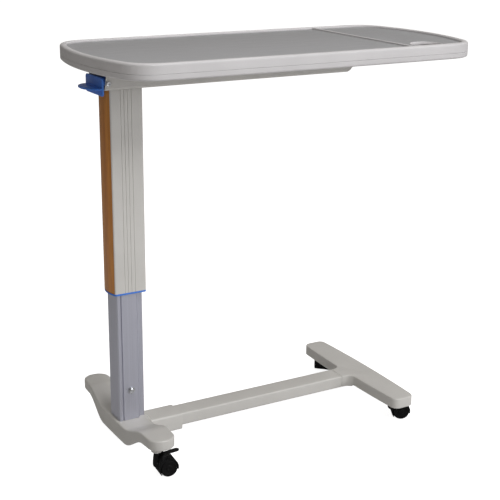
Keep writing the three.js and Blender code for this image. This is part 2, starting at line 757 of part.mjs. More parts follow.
// The end foot's neck in plan, with a round fillet on each side where it meets the foot.
function neckPlan() {
  const { fillet } = END_FOOT;
  const root = END_FOOT.x - END_FOOT.endHalfWidth;
  const half = TUBE.halfWidth;
  const shape = new THREE.Shape();
  shape.moveTo(PLUG_START, -half);
  shape.lineTo(root - fillet, -half);
  shape.absarc(root - fillet, -half - fillet, fillet, Math.PI / 2, 0, true);
  shape.lineTo(root + 8, -half - fillet);
  shape.lineTo(root + 8, half + fillet);
  shape.lineTo(root, half + fillet);
  shape.absarc(root - fillet, half + fillet, fillet, 0, -Math.PI / 2, true);
  shape.lineTo(PLUG_START, half);
  return shape;
}

function addEndFoot() {
  const foot = END_FOOT;
  const body = alongZ(footPlan(foot), foot.bottom, foot.top);
  const neck = alongZ(neckPlan(), TUBE.bottom, foot.top);
  const hollow = alongZ(footPlan(insideOf(foot)), TUBE.bottom - 1, foot.hollowTop);
  const plugHalf = [TUBE.halfWidth - TUBE.wall - GAP, TUBE_HALF_HEIGHT - TUBE.wall - GAP];
  const plugShape = roundedRect(...plugHalf, 2, 0, TUBE_Z);
  const plug = alongX(plugShape, PLUG_START - PLUG_LENGTH, PLUG_START + 1, 3);
  const casters = CASTERS.filter(({ x }) => x > 0);
  const bosses = casters.map((caster) => casterBoss(caster, foot.hollowTop + 2));
  const tubeScrew = tubeScrewHole(RIGHT_SCREW_X, TUBE.bottom - 1, TUBE.bottom + 18);
  const casting = joined(cut(joined(body, neck), hollow), plug, ...bosses);
  piece("end_foot", cut(casting, tubeScrew, ...casters.map(stemHole)), paint);
}

function addCrossbar() {
  const { halfWidth, wall, radius, left, right, bottom } = TUBE;
  const outer = alongX(roundedRect(halfWidth, TUBE_HALF_HEIGHT, radius, 0, TUBE_Z), left, right, 4);
  const innerShape = roundedRect(halfWidth - wall, TUBE_HALF_HEIGHT - wall, 2, 0, TUBE_Z);
  const inner = alongX(innerShape, left - 1, right + 1, 3);
  const holes = [LEFT_SCREW_X, RIGHT_SCREW_X].map((x) => tubeScrewHole(x, bottom - 1, bottom + 4));
  piece("crossbar_tube", cut(outer, inner, ...holes), paint);

  for (const [name, x, seat] of [
    ["crossbar_screw_left", LEFT_SCREW_X, SOCKET.bottom],
    ["crossbar_screw_right", RIGHT_SCREW_X, bottom],
  ]) {
    const profile = [
      [0, seat - 3.8],
      [5.2, seat - 2.8],
      [5.2, seat - GAP],
      [3, seat - GAP],
      [3, seat + 12],
      [0, seat + 14],
    ];
    piece(name, turned(profile, x, 0, 10), zinc);
  }
}

// ---------------------------------------------------------------- casters
// Each caster is drawn with its swivel axis on Z and its axle along Y, trailing towards +X.
// One wheel of the pair: side -1 sits on -Y, side 1 on +Y.
function wheelSolid(side) {
  const { wheelRadius, wheelWidth, webHalf, axleRadius, trail } = CASTER;
  const bore = axleRadius + GAP;
  const profile = [
    [bore, 0],
    [wheelRadius - 1.5, 0],
    [wheelRadius, 2],
    [wheelRadius, wheelWidth - 3],
    [wheelRadius - 2.5, wheelWidth],
    [6, wheelWidth],
    [bore, wheelWidth - 1.5],
    [bore, 0],
  ].map(([radius, y]) => new THREE.Vector2(radius, y));
  const lathe = new THREE.LatheGeometry(profile, 22).translate(0, webHalf + GAP, 0);
  if (side < 0) lathe.rotateX(Math.PI);
  return solidOf(lathe.translate(trail, 0, wheelRadius));
}

// The hood's side view: a skirt on the swivel side that nearly reaches the floor, a round top that
// follows the wheels, and an open side where they trail.
function hoodProfile() {
  const { wheelRadius, trail, hoodRadius, hoodTop } = CASTER;
  const ARC_STEPS = 5;
  const [arcFrom, arcTo] = [THREE.MathUtils.degToRad(34), THREE.MathUtils.degToRad(-15)];
  const back = trail - hoodRadius;
  const points = [
    [back + 4, 4.5],
    [back, 15],
    [back, 33],
    [back + 4, 45],
    [back + 8, hoodTop],
    [trail - 4, hoodTop],
    [trail + 5, hoodTop - 4],
  ];
  for (let step = 0; step <= ARC_STEPS; step += 1) {
    const angle = arcFrom + ((arcTo - arcFrom) * step) / ARC_STEPS;
    points.push([trail + hoodRadius * Math.cos(angle), wheelRadius + hoodRadius * Math.sin(angle)]);
  }
  points.push([trail + 16, 12], [trail + 4, 6]);
  return polygon(points.map(([x, z]) => [z, x]));
}

function hoodSolid(brake) {
  const { wheelRadius, trail, webHalf, roomRadius, hoodHalf, turretRadius } = CASTER;
  const { turretBottom, housingRadius, hoodTop, stemRadius, axleRadius } = CASTER;
  const shroud = alongY(hoodProfile(), -hoodHalf, hoodHalf);
  const lower = shroud.intersect(box(-60, 80, -60, 60, 0, turretBottom));
  const turret = shroud.intersect(roundBar(turretRadius, 0, 0, turretBottom - 1, hoodTop, 20));
  const housing = roundBar(housingRadius, 0, 0, 26, hoodTop);
  const wheelRooms = [-1, 1].map((side) => {
    const [near, far] = [side * webHalf, side * (hoodHalf + 2)];
    return crossBar(roomRadius, trail, wheelRadius, Math.min(near, far), Math.max(near, far), 24);
  });
  const stemBore = roundBar(stemRadius + GAP, 0, 0, 37, hoodTop + 1, 14);
  const axleBore = crossBar(axleRadius + GAP, trail, wheelRadius, -10, 10, 12);
  const hood = cut(joined(lower, turret, housing), ...wheelRooms, stemBore, axleBore);
  if (!brake) return hood;
  const { pivotX, pivotZ, tongueHalf } = BRAKE;
  const slotHalf = tongueHalf + 1.2;
  const slot = box(pivotX - 5, trail + 30, -slotHalf, slotHalf, 43.5, hoodTop + 1);
  const socket = crossBar(2 + GAP, pivotX, pivotZ, -slotHalf - 3, slotHalf + 3, 10);
  return cut(hood, slot, socket);
}

function stemSolid() {
  const { stemRadius, hoodTop, flangeTop, stemTop } = CASTER;
  const profile = [
    [0, 38],
    [stemRadius, 38],
    [stemRadius, hoodTop + GAP],
    [9, hoodTop + GAP],
    [9, flangeTop],
    [stemRadius, flangeTop],
    [stemRadius, stemTop],
    [0, stemTop],
  ];
  return turned(profile, 0, 0, 14);
}

function pedalSolid() {
  const { pivotX, pivotZ, tongueHalf, padHalf, padEnd, tilt } = BRAKE;
  const trunnion = crossBar(2, 0, 0, -tongueHalf - 3.4, tongueHalf + 3.4, 10);
  const reach = padEnd - pivotX;
  const blade = new THREE.Shape();
  blade.moveTo(-3.5, -tongueHalf);
  blade.lineTo(12, -tongueHalf);
  blade.lineTo(18, -padHalf);
  blade.lineTo(reach - 5, -padHalf);
  blade.quadraticCurveTo(reach, -padHalf, reach, 0);
  blade.quadraticCurveTo(reach, padHalf, reach - 5, padHalf);
  blade.lineTo(18, padHalf);
  blade.lineTo(12, tongueHalf);
  blade.lineTo(-3.5, tongueHalf);
  const tilted = joined(trunnion, alongZ(blade, -1.6, 1.6, 4)).rotate([0, -tilt, 0]);
  return tilted.translate([pivotX, 0, pivotZ]);
}

function addCaster({ tag, x, y, turn, brake }) {
  const placed = new THREE.Group();
  placed.position.set(x, y, 0);
  placed.rotation.z = THREE.MathUtils.degToRad(turn);
  table.add(placed);
  const { trail, wheelRadius, axleRadius, webHalf, wheelWidth } = CASTER;
  piece("stem_" + tag, stemSolid(), zinc, placed);
  piece("hood_" + tag, hoodSolid(brake), blackPlastic, placed);
  piece("wheel_a_" + tag, wheelSolid(-1), tread, placed);
  piece("wheel_b_" + tag, wheelSolid(1), tread, placed);
  const axleHalf = webHalf + wheelWidth - 2;
  piece("axle_" + tag, crossBar(axleRadius, trail, wheelRadius, -axleHalf, axleHalf, 12), steel, placed);
  if (brake) piece("brake_pedal_" + tag, pedalSolid(), blackPlastic, placed);
}

addTray();
addArm();
addSleeve();
addColumn();
addGasSpring();
addLever();
addColumnFoot();
addEndFoot();
addCrossbar();
CASTERS.forEach(addCaster);

export default table;
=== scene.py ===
import json
import math

import bmesh
import bpy
from mathutils import Matrix, Vector


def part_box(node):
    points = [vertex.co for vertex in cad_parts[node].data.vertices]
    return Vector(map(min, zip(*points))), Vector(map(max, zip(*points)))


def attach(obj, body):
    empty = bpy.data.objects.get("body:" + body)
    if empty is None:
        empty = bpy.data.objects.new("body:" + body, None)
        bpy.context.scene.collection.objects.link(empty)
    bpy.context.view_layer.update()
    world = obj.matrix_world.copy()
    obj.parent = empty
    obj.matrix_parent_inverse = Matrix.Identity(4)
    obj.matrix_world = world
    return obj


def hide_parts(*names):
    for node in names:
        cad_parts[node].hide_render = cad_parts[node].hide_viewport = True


# Looks of a height-adjustable overbed table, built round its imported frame. Metres, +Z up.
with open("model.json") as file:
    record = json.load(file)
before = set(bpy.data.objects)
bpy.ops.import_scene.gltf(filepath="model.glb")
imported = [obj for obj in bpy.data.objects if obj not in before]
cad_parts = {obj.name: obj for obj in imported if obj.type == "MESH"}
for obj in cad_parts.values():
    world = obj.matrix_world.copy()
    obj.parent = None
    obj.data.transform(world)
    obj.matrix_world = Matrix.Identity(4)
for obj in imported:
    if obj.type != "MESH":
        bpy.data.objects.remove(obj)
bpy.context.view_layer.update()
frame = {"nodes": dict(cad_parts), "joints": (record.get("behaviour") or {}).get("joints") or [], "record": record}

CLEARANCE = 0.0003  # left between neighbouring pieces


# ---------------------------------------------------------------- outlines
def arc(centre, radius, start, end, steps):
    """Points on an arc, in degrees, both ends included."""
    angles = [math.radians(start + (end - start) * i / steps) for i in range(steps + 1)]
    return [(centre[0] + radius * math.cos(a), centre[1] + radius * math.sin(a)) for a in angles]


def rounded_rect(half_u, half_v, radius, centre=(0, 0), steps=7):
    cu, cv = centre
    corners = [(1, -1, -90), (1, 1, 0), (-1, 1, 90), (-1, -1, 180)]
    outline = []
    for side_u, side_v, start in corners:
        at = (cu + side_u * (half_u - radius), cv + side_v * (half_v - radius))
        outline += arc(at, radius, start, start + 90, steps)
    return outline


def quadratic(start, control, end, steps):
    """Points on a quadratic curve, without its last one."""
    points = []
    for i in range(steps):
        t = i / steps
        a, b, c = (1 - t) ** 2, 2 * t * (1 - t), t * t
        points.append(tuple(a * s + b * m + c * e for s, m, e in zip(start, control, end)))
    return points


def offset(outline, inset):
    """Moves each edge of an anticlockwise outline inwards."""
    moved = []
    for i, point in enumerate(outline):
        before, after = Vector(outline[i - 1]), Vector(outline[(i + 1) % len(outline)])
        here = Vector(point)
        first, second = (here - before).normalized(), (after - here).normalized()
        normal_a, normal_b = Vector((first.y, -first.x)), Vector((second.y, -second.x))
        mitre = (normal_a + normal_b) / max(1 + normal_a.dot(normal_b), 0.3)
        moved.append(tuple(here - mitre * inset))
    return moved


def clip(outline, limit, side):
    """Keeps the part of an outline beyond x = limit: side 1 keeps the larger x, -1 the smaller."""
    kept = []
    for i, here in enumerate(outline):
        before = outline[i - 1]
        inside, was_inside = side * (here[0] - limit) >= 0, side * (before[0] - limit) >= 0
        if inside != was_inside:
            t = (limit - before[0]) / (here[0] - before[0])
            kept.append((limit, before[1] + t * (here[1] - before[1])))
        if inside:
            kept.append(here)
    return kept


# ---------------------------------------------------------------- meshes
def mesh_object(name, points, faces):
    mesh = bpy.data.meshes.new(name)
    mesh.from_pydata(points, [], faces)
    shape = bmesh.new()
    shape.from_mesh(mesh)
    bmesh.ops.remove_doubles(shape, verts=shape.verts, dist=1e-7)
    bmesh.ops.recalc_face_normals(shape, faces=shape.faces)
    shape.to_mesh(mesh)
    shape.free()
    obj = bpy.data.objects.new(name, mesh)
    bpy.context.scene.collection.objects.link(obj)
    return obj


def loft(name, rings, closed=False):
    """Joins loops of equal length. An open stack is capped at both ends; a closed one joins up."""
    count = len(rings[0])
    points = [p for ring in rings for p in ring]
    faces = []
    for r in range(len(rings) if closed else len(rings) - 1):
        low, high = r * count, ((r + 1) % len(rings)) * count
        for i in range(count):
            j = (i + 1) % count
            faces.append((low + i, low + j, high + j, high + i))
    if not closed:
        faces.append(tuple(range(count)))
        faces.append(tuple(range(len(points) - count, len(points))))
    return mesh_object(name, points, faces)


TO_SPACE = {
    "X": lambda u, v, w: (w, u, v),
    "Y": lambda u, v, w: (u, w, v),
    "Z": lambda u, v, w: (u, v, w),
}


def prism(name, outline, low, high, axis="Z", radius=0.0, steps=4):
    """An outline drawn across an axis and run along it, with its two end edges rounded."""
    place = TO_SPACE[axis]
    levels = [(0, low), (0, high)]
    if radius:
        turns = [math.radians(90 * i / steps) for i in range(steps + 1)]
        rise = [(radius * (1 - math.sin(a)), radius * (1 - math.cos(a))) for a in turns]
        levels = [(inset, low + depth) for inset, depth in rise]
        levels += [(inset, high - depth) for inset, depth in reversed(rise)]
    rings = []
    for inset, w in levels:
        ring = offset(outline, inset) if inset else outline
        rings.append([place(u, v, w) for u, v in ring])
    return loft(name, rings)


def turned(name, profile, centre=(0, 0, 0), axis="Z", steps=48, closed=False):
    """A turned piece: the profile is [radius, height along the axis]."""
    place = TO_SPACE[axis]
    rings = []
    for radius, height in profile:
        circle = arc((0, 0), max(radius, 1e-9), 0, 360, steps)[:-1]
        rings.append([tuple(Vector(place(u, v, height)) + Vector(centre)) for u, v in circle])
    return loft(name, rings, closed)


def bar(name, radius, centre, low, high, axis="Z", steps=40):
    return turned(name, [(0, low), (radius, low), (radius, high), (0, high)], centre, axis, steps)


def block(name, low, high):
    """A plain block between two corners, used only to cut other shapes."""
    outline = [(low[0], low[1]), (high[0], low[1]), (high[0], high[1]), (low[0], high[1])]
    return prism(name, outline, low[2], high[2])


def bake(obj):
    """Replaces the mesh by its result after the modifiers."""
    bpy.context.view_layer.update()
    graph = bpy.context.evaluated_depsgraph_get()
    result = bpy.data.meshes.new_from_object(obj.evaluated_get(graph))
    old = obj.data
    obj.modifiers.clear()
    obj.data = result
    bpy.data.meshes.remove(old)
    return obj


def combine(obj, others, operation):
    for other in others:
        modifier = obj.modifiers.new("shape", "BOOLEAN")
        modifier.operation = operation
        modifier.solver = "EXACT"
        modifier.object = other
        bake(obj)
        bpy.data.objects.remove(other)
    return obj


def joined(obj, *others):
    return combine(obj, others, "UNION")


def cut(obj, *others):
    return combine(obj, others, "DIFFERENCE")


def soften(obj, width, segments=3, angle=35):
    modifier = obj.modifiers.new("edges", "BEVEL")
    modifier.limit_method = "ANGLE"
    modifier.angle_limit = math.radians(angle)
    modifier.width = width
    modifier.segments = segments
    modifier.use_clamp_overlap = False
    return bake(obj)


# ---------------------------------------------------------------- materials
def linear(red, green, blue):
    """An sRGB colour, 0 to 255, as the linear colour that a node takes."""
    def channel(value):
        share = value / 255
        return share / 12.92 if share <= 0.04045 else ((share + 0.055) / 1.055) ** 2.4
    return (channel(red), channel(green), channel(blue), 1.0)


MIX_FIRST, MIX_SECOND, MIX_RESULT = 6, 7, 2  # a mix node's colour sockets


class Finish:
    """A node material: a base shader with helpers for patterned colour, roughness and relief."""

    def __init__(self, name, roughness, metallic=0.0):
        self.material = bpy.data.materials.new(name)
        self.material.use_nodes = True
        self.tree = self.material.node_tree
        self.shader = self.tree.nodes["Principled BSDF"]
        self.shader.inputs["Roughness"].default_value = roughness
        self.shader.inputs["Metallic"].default_value = metallic
        self.place = self.tree.nodes.new("ShaderNodeTexCoord").outputs["Object"]
        self.relief = None

    def node(self, kind, **inputs):
        made = self.tree.nodes.new(kind)
        for key, value in inputs.items():
            made.inputs[key.replace("_", " ")].default_value = value
        return made

    def link(self, source, target):
        self.tree.links.new(source, target)

    def noise(self, scale, detail=3.0, stretch=(1, 1, 1)):
        mapping = self.node("ShaderNodeMapping", Scale=stretch)
        self.link(self.place, mapping.inputs["Vector"])
        noise = self.node("ShaderNodeTexNoise", Scale=scale, Detail=detail)
        self.link(mapping.outputs["Vector"], noise.inputs["Vector"])
        return noise.outputs["Fac"]

    def spread(self, source, low, high):
        """Maps the middle of a pattern's range onto low to high."""
        ranged = self.tree.nodes.new("ShaderNodeMapRange")
        self.link(source, ranged.inputs["Value"])
        ranged.inputs["From Min"].default_value = 0.3
        ranged.inputs["From Max"].default_value = 0.7
        ranged.inputs["To Min"].default_value = low
        ranged.inputs["To Max"].default_value = high
        return ranged.outputs["Result"]

    def blend(self, share, first, second):
        """Mixes two colours, each a value or another node's output."""
        mix = self.tree.nodes.new("ShaderNodeMix")
        mix.data_type = "RGBA"
        for socket, value in ((mix.inputs[MIX_FIRST], first), (mix.inputs[MIX_SECOND], second)):
            if isinstance(value, bpy.types.NodeSocket):
                self.link(value, socket)
            else:
                socket.default_value = value
        self.link(share, mix.inputs[0])
        return mix.outputs[MIX_RESULT]

    def bump(self, source, height, strength=1.0):
        bump = self.node("ShaderNodeBump", Strength=strength, Distance=height)
        self.link(source, bump.inputs["Height"])
        if self.relief:
            self.link(self.relief, bump.inputs["Normal"])
        self.relief = bump.outputs["Normal"]
        self.link(self.relief, self.shader.inputs["Normal"])

    def edges(self, radius, strength):
        """The given strength along worn edges, 0 on open faces."""
        rounded = self.tree.nodes.new("ShaderNodeBevel")
        rounded.samples = 4
        rounded.inputs["Radius"].default_value = radius
        geometry = self.tree.nodes.new("ShaderNodeNewGeometry")
        dot = self.tree.nodes.new("ShaderNodeVectorMath")
        dot.operation = "DOT_PRODUCT"
        self.link(rounded.outputs["Normal"], dot.inputs[0])
        self.link(geometry.outputs["Normal"], dot.inputs[1])
        ranged = self.tree.nodes.new("ShaderNodeMapRange")
        self.link(dot.outputs["Value"], ranged.inputs["Value"])
        ranged.inputs["From Min"].default_value = 0.99
        ranged.inputs["From Max"].default_value = 0.75
        ranged.inputs["To Max"].default_value = strength
        return ranged.outputs["Result"]

    def crevice_shade(self, distance, strength):
        """Painted shade: the given strength in corners and hollows that ambient occlusion finds, 0 in the open."""
        shade = self.node("ShaderNodeAmbientOcclusion", Distance=distance)
        shade.samples = 6
        ranged = self.tree.nodes.new("ShaderNodeMapRange")
        self.link(shade.outputs["AO"], ranged.inputs["Value"])
        ranged.inputs["From Min"].default_value = 0.2
        ranged.inputs["From Max"].default_value = 0.9
        ranged.inputs["To Min"].default_value = strength
        ranged.inputs["To Max"].default_value = 0.0
        return ranged.outputs["Result"]

    def colour(self, socket):
        self.link(socket, self.shader.inputs["Base Color"])

    def rough(self, socket):
        self.link(socket, self.shader.inputs["Roughness"])


def tinted(colour, factor):
    return tuple(min(c * factor, 1.0) for c in colour[:3]) + (1.0,)


def coated(name, colour, roughness, grain, grain_height, wear=0.25, metallic=0.0):
    """Paint or moulded plastic: slow colour drift, fine grain, rubbed edges, painted shade in corners."""
    made = Finish(name, roughness, metallic)
    drift = made.spread(made.noise(9, 2.0), 0, 1)
    base = made.blend(drift, tinted(colour, 0.96), tinted(colour, 1.04))
    worn = made.blend(made.edges(0.0012, wear), base, tinted(colour, 1.22))
    # painted shade: corners and hollows darkened to 0.62 of the colour
    corner_shaded = made.blend(made.crevice_shade(0.012, 0.35), worn, tinted(colour, 0.62))
    made.colour(corner_shaded)
    made.rough(made.spread(made.noise(45, 4.0), roughness - 0.06, roughness + 0.08))
    made.bump(made.noise(grain, 2.0), grain_height)
    return made


def metal(name, colour, roughness, stretch=(1, 1, 1), brush=500):
    """Bare metal with fine tool or drawing marks, and painted shade in its crevices."""
    made = Finish(name, roughness, 1.0)
    marks = made.noise(brush, 3.0, stretch)
    made.rough(made.spread(marks, roughness - 0.08, roughness + 0.12))
    worn = made.blend(made.spread(made.noise(20, 3.0), 0, 1), tinted(colour, 0.9), tinted(colour, 1.05))
    # painted shade: crevices and hollows darkened to 0.4 of the colour
    made.colour(made.blend(made.crevice_shade(0.006, 0.5), worn, tinted(colour, 0.4)))
    made.bump(marks, 0.00002)
    return made


def drawn_column():
    """Anodised extrusion: die lines down its length over a soft satin."""
    colour = linear(190, 191, 203)
    made = Finish("anodised_column", 0.38, 0.78)
    lines = made.noise(420, 3.0, (1, 1, 0.004))
    tone = made.blend(made.spread(lines, 0, 1), tinted(colour, 0.94), tinted(colour, 1.05))
    made.colour(made.blend(made.edges(0.0008, 0.5), tone, tinted(colour, 1.3)))
    made.rough(made.spread(lines, 0.30, 0.44))
    made.bump(lines, 0.00003)
    return made


def beech():
    """Long grain, with short dark flecks and a satin varnish."""
    made = Finish("wood_trim", 0.42)
    bands = made.noise(70, 5.0, (1, 1, 0.05))
    flecks = made.noise(600, 2.0, (1, 1, 0.035))
    light, dark = linear(234, 158, 72), linear(192, 118, 46)
    grain = made.blend(made.spread(bands, 0, 1), dark, light)
    made.colour(made.blend(made.spread(flecks, 0.0, 0.28), grain, linear(112, 66, 34)))
    made.rough(made.spread(bands, 0.36, 0.5))
    made.bump(flecks, 0.00006)
    return made


def laminate():
    """Mid-grey surface sheet: a fine speckle and faint streaks along the tray."""
    colour = linear(160, 160, 162)
    made = Finish("tray_surface", 0.48)
    speckle = made.noise(1500, 2.0)
    streaks = made.noise(60, 3.0, (0.25, 1, 1))
    base = made.blend(made.spread(speckle, 0, 1), tinted(colour, 0.9), tinted(colour, 1.08))
    made.colour(made.blend(made.spread(streaks, 0.0, 0.12), base, tinted(colour, 1.25)))
    made.rough(made.spread(streaks, 0.42, 0.56))
    made.bump(speckle, 0.00004)
    return made


def black_moulding(name, colour, roughness, dust):
    """Black nylon: patches of floor dust, a dull sheen, faintly rubbed edges."""
    made = Finish(name, roughness)
    made.shader.inputs["Specular IOR Level"].default_value = 0.16
    drift = made.spread(made.noise(60, 4.0), 0, 1)
    base = made.blend(drift, tinted(colour, 0.85), tinted(colour, 1.2))
    rubbed = made.blend(made.edges(0.0007, 0.3), base, tinted(colour, 2.2))
    powder = made.blend(made.spread(made.noise(220, 4.0), -0.15, dust), rubbed, linear(120, 116, 108))
    made.colour(powder)
    made.rough(made.spread(made.noise(90, 4.0), roughness - 0.05, roughness + 0.1))
    made.bump(made.noise(900, 2.0), 0.00004)
    return made


FINISHES = {
    "powder_coat": coated("powder_coat", linear(207, 205, 201), 0.36, 900, 0.00006).material,
    "tray_shell": coated("tray_shell", linear(208, 206, 207), 0.4, 1200, 0.00003).material,
    "tray_surface": laminate().material,
    "anodised_column": drawn_column().material,
    "wood_trim": beech().material,
    "blue_plastic": coated("blue_plastic", linear(68, 128, 224), 0.36, 800, 0.00003).material,
    "black_plastic": black_moulding("black_plastic", linear(15, 15, 17), 0.46, 0.03).material,
    "black_wheel": black_moulding("black_wheel", linear(11, 11, 12), 0.55, 0.02).material,
    "glide_plastic": coated("glide_plastic", linear(230, 230, 222), 0.45, 900, 0.00003).material,
    "cylinder_paint": coated("cylinder_paint", linear(24, 24, 24), 0.3, 700, 0.00002).material,
    "steel": metal("steel", linear(150, 152, 155), 0.34).material,
    "zinc_plate": metal("zinc_plate", linear(206, 208, 212), 0.26).material,
}


# ---------------------------------------------------------------- putting a piece in place
def shade(mesh, angle=32):
    """Smooth faces, with sharp edges wherever two faces meet at more than the angle."""
    mesh.polygons.foreach_set("use_smooth", [True] * len(mesh.polygons))
    mesh.set_sharp_from_angle(angle=math.radians(angle))


def dress(obj, slot, body, *stands_for):
    shade(obj.data)
    obj.data.materials.clear()
    obj.data.materials.append(FINISHES[slot])
    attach(obj, body)
    if stands_for:
        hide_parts(*stands_for)
    return obj


# ---------------------------------------------------------------- tray
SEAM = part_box("tray_top")[0].z
TRAY_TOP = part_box("tray_top")[1].z
TRAY_HALF_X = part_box("tray_top")[1].x
TRAY_HALF_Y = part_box("tray_top")[1].y
TRAY_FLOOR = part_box("tray_bottom")[0].z
LOWER_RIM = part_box("tray_bottom")[1].z
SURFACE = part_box("tray_panel_main")[1].z
PANEL_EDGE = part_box("tray_panel_main")[1].x
RIDGE_LEFT = PANEL_EDGE + CLEARANCE
RIDGE_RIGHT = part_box("tray_panel_side")[0].x - CLEARANCE
SHEET = 0.002
END_BOW = 0.040
SIDE_BOW = 0.005
CORNER = 0.054
RIM = 0.012
WALL = 0.004
CUP = (0.317, -0.160)
CUP_RADIUS = 0.038
CUP_DEPTH = 0.013
CUP_CORNER = 0.004
CUT_LOW, CUT_HIGH = 0.85, 0.95  # heights well below and above the tray's surface
SEAM_LIP = 0.0003
UNDER_RADIUS = 0.0045
CREST_RADIUS = 0.0052
CREST_INSIDE = 0.0032
RIDGE_HALF_HEIGHT = 0.0045
RIDGE_DROP = 0.001


def tray_outline(inset):
    """The tray in plan, anticlockwise: bowed ends and sides, rounded corners."""
    half_x, half_y = TRAY_HALF_X - inset, TRAY_HALF_Y - inset

    def side_at(x):
        return half_y - SIDE_BOW * (x / half_x) ** 2

    def end_at(y):
        return half_x - END_BOW * (y / half_y) ** 2

    corner_x = end_at(half_y - SIDE_BOW)
    corner_y = side_at(corner_x)
    side_end = corner_x - CORNER + inset * 0.6
    end_end = corner_y - CORNER + inset * 0.6
    side_y, end_x = side_at(side_end), end_at(end_end)
    crown_y, crown_x = 2 * half_y - side_y, 2 * half_x - end_x
    long_steps, end_steps, corner_steps = 24, 24, 14
    outline = quadratic((-side_end, -side_y), (0, -crown_y), (side_end, -side_y), long_steps)
    outline += quadratic((side_end, -side_y), (corner_x, -corner_y), (end_x, -end_end), corner_steps)
    outline += quadratic((end_x, -end_end), (crown_x, 0), (end_x, end_end), end_steps)
    outline += quadratic((end_x, end_end), (corner_x, corner_y), (side_end, side_y), corner_steps)
    outline += quadratic((side_end, side_y), (0, crown_y), (-side_end, side_y), long_steps)
    outline += quadratic((-side_end, side_y), (-corner_x, corner_y), (-end_x, end_end), corner_steps)
    outline += quadratic((-end_x, end_end), (-crown_x, 0), (-end_x, -end_end), end_steps)
    outline += quadratic((-end_x, -end_end), (-corner_x, -corner_y), (-side_end, -side_y), corner_steps)
    return outline


def tray_loft(name, profile):
    return loft(name, [[(x, y, z) for x, y in tray_outline(inset)] for inset, z in profile])


def screw_places():
    """The centre of each tray screw, in plan."""
    for number in range(1, 5):
        low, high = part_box(f"tray_screw_{number}")
        yield (low.x + high.x) / 2, (low.y + high.y) / 2


def add_lower_shell():
    edge = arc((UNDER_RADIUS, TRAY_FLOOR + UNDER_RADIUS), UNDER_RADIUS, 270, 180, 6)
    lip = [(0, LOWER_RIM - SEAM_LIP), (SEAM_LIP, LOWER_RIM)]
    inside = [(WALL, LOWER_RIM), (WALL, TRAY_FLOOR + 0.0035), (WALL + 0.0005, TRAY_FLOOR + 0.003)]
    shell = tray_loft("tray_lower_shell", edge + lip + inside)
    for x, y in screw_places():
        boss = bar("boss", 0.007, (x, y, 0), TRAY_FLOOR + 0.002, SEAM - 0.001)
        pilot = bar("pilot", 0.0028, (x, y, 0), TRAY_FLOOR - 0.001, SEAM - 0.002)
        joined(shell, boss)
        cut(shell, pilot)
    dress(shell, "tray_shell", "lift", "tray_bottom")


def add_upper_shell():
    seat = SURFACE - SHEET
    ceiling = seat - WALL
    inside = [(WALL + 0.001, ceiling), (WALL, ceiling - 0.001), (WALL, SEAM)]
    lip = [(SEAM_LIP, SEAM), (0, SEAM + SEAM_LIP)]
    crest = arc((CREST_RADIUS, TRAY_TOP - CREST_RADIUS), CREST_RADIUS, 180, 90, 9)
    inner = arc((RIM - CREST_INSIDE, TRAY_TOP - CREST_INSIDE), CREST_INSIDE, 90, 0, 7)
    shell = tray_loft("tray_upper_shell", inside + lip + crest + inner + [(RIM, seat)])
    ridge_outline = rounded_rect((RIDGE_RIGHT - RIDGE_LEFT) / 2, RIDGE_HALF_HEIGHT, 0.0016,
                                 ((RIDGE_LEFT + RIDGE_RIGHT) / 2, SURFACE - RIDGE_DROP))
    ridge_end = TRAY_HALF_Y - 0.010
    ridge = prism("ridge", ridge_outline, -ridge_end, ridge_end, "Y")
    floor = SURFACE - CUP_DEPTH
    well = bar("well", CUP_RADIUS + 0.003, (*CUP, 0), floor - 0.0025, ceiling + 0.001, steps=96)
    joined(shell, ridge, well)
    bottom = arc((CUP_RADIUS - CUP_CORNER, floor + CUP_CORNER), CUP_CORNER, 270, 360, 6)
    hollow = turned("hollow", [(0, floor)] + bottom + [(CUP_RADIUS, CUT_HIGH), (0, CUT_HIGH)],
                    (*CUP, 0), steps=96)
    cut(shell, hollow)
    dress(shell, "tray_shell", "lift", "tray_top")


def add_cup_bezel():
    """A thin rounded lip round the recess, standing just proud of the surface sheet."""
    outer, inner = CUP_RADIUS - 0.0001, CUP_RADIUS - 0.0026
    top = SURFACE + 0.0008
    profile = [(outer, SURFACE - 0.004), (outer, top - 0.0008), (outer - 0.0006, top),
               (inner + 0.0008, top), (inner, top - 0.0010), (inner, SURFACE - 0.004)]
    ring = turned("cup_bezel", profile, (*CUP, 0), steps=96, closed=True)
    dress(ring, "tray_shell", "lift")


def add_surface_sheets():
    outline = tray_outline(RIM + CLEARANCE)
    low = SURFACE - SHEET + 0.00002
    for name, limit, side, node in (
        ("surface_main", PANEL_EDGE, -1, "tray_panel_main"),
        ("surface_side", RIDGE_RIGHT + CLEARANCE, 1, "tray_panel_side"),
    ):
        sheet = prism(name, clip(outline, limit, side), low, SURFACE, radius=0.0004, steps=3)
        if side > 0:
            cut(sheet, bar("opening", CUP_RADIUS + 0.0005, (*CUP, 0), CUT_LOW, CUT_HIGH, steps=96))
        dress(sheet, "tray_surface", "lift", node)


# ---------------------------------------------------------------- sleeve, strips and ring
COLUMN_X = (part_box("outer_sleeve")[0].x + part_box("outer_sleeve")[1].x) / 2
SLEEVE_LOW, SLEEVE_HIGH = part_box("outer_sleeve")
SLEEVE_HALF_X = (SLEEVE_HIGH.x - SLEEVE_LOW.x) / 2
SLEEVE_HALF_Y = SLEEVE_HIGH.y
SLEEVE_CORNER = 0.004
STRIP_HALF = 0.029
STRIP_DEPTH = 0.002
STRIP_EASE = 0.0009
BORE = (0.034, 0.0285)
FLUTES = (-0.0136, -0.0058, 0.0022, 0.0108)
FLUTE_HALF = 0.0009
FLUTE_DEPTH = 0.0009


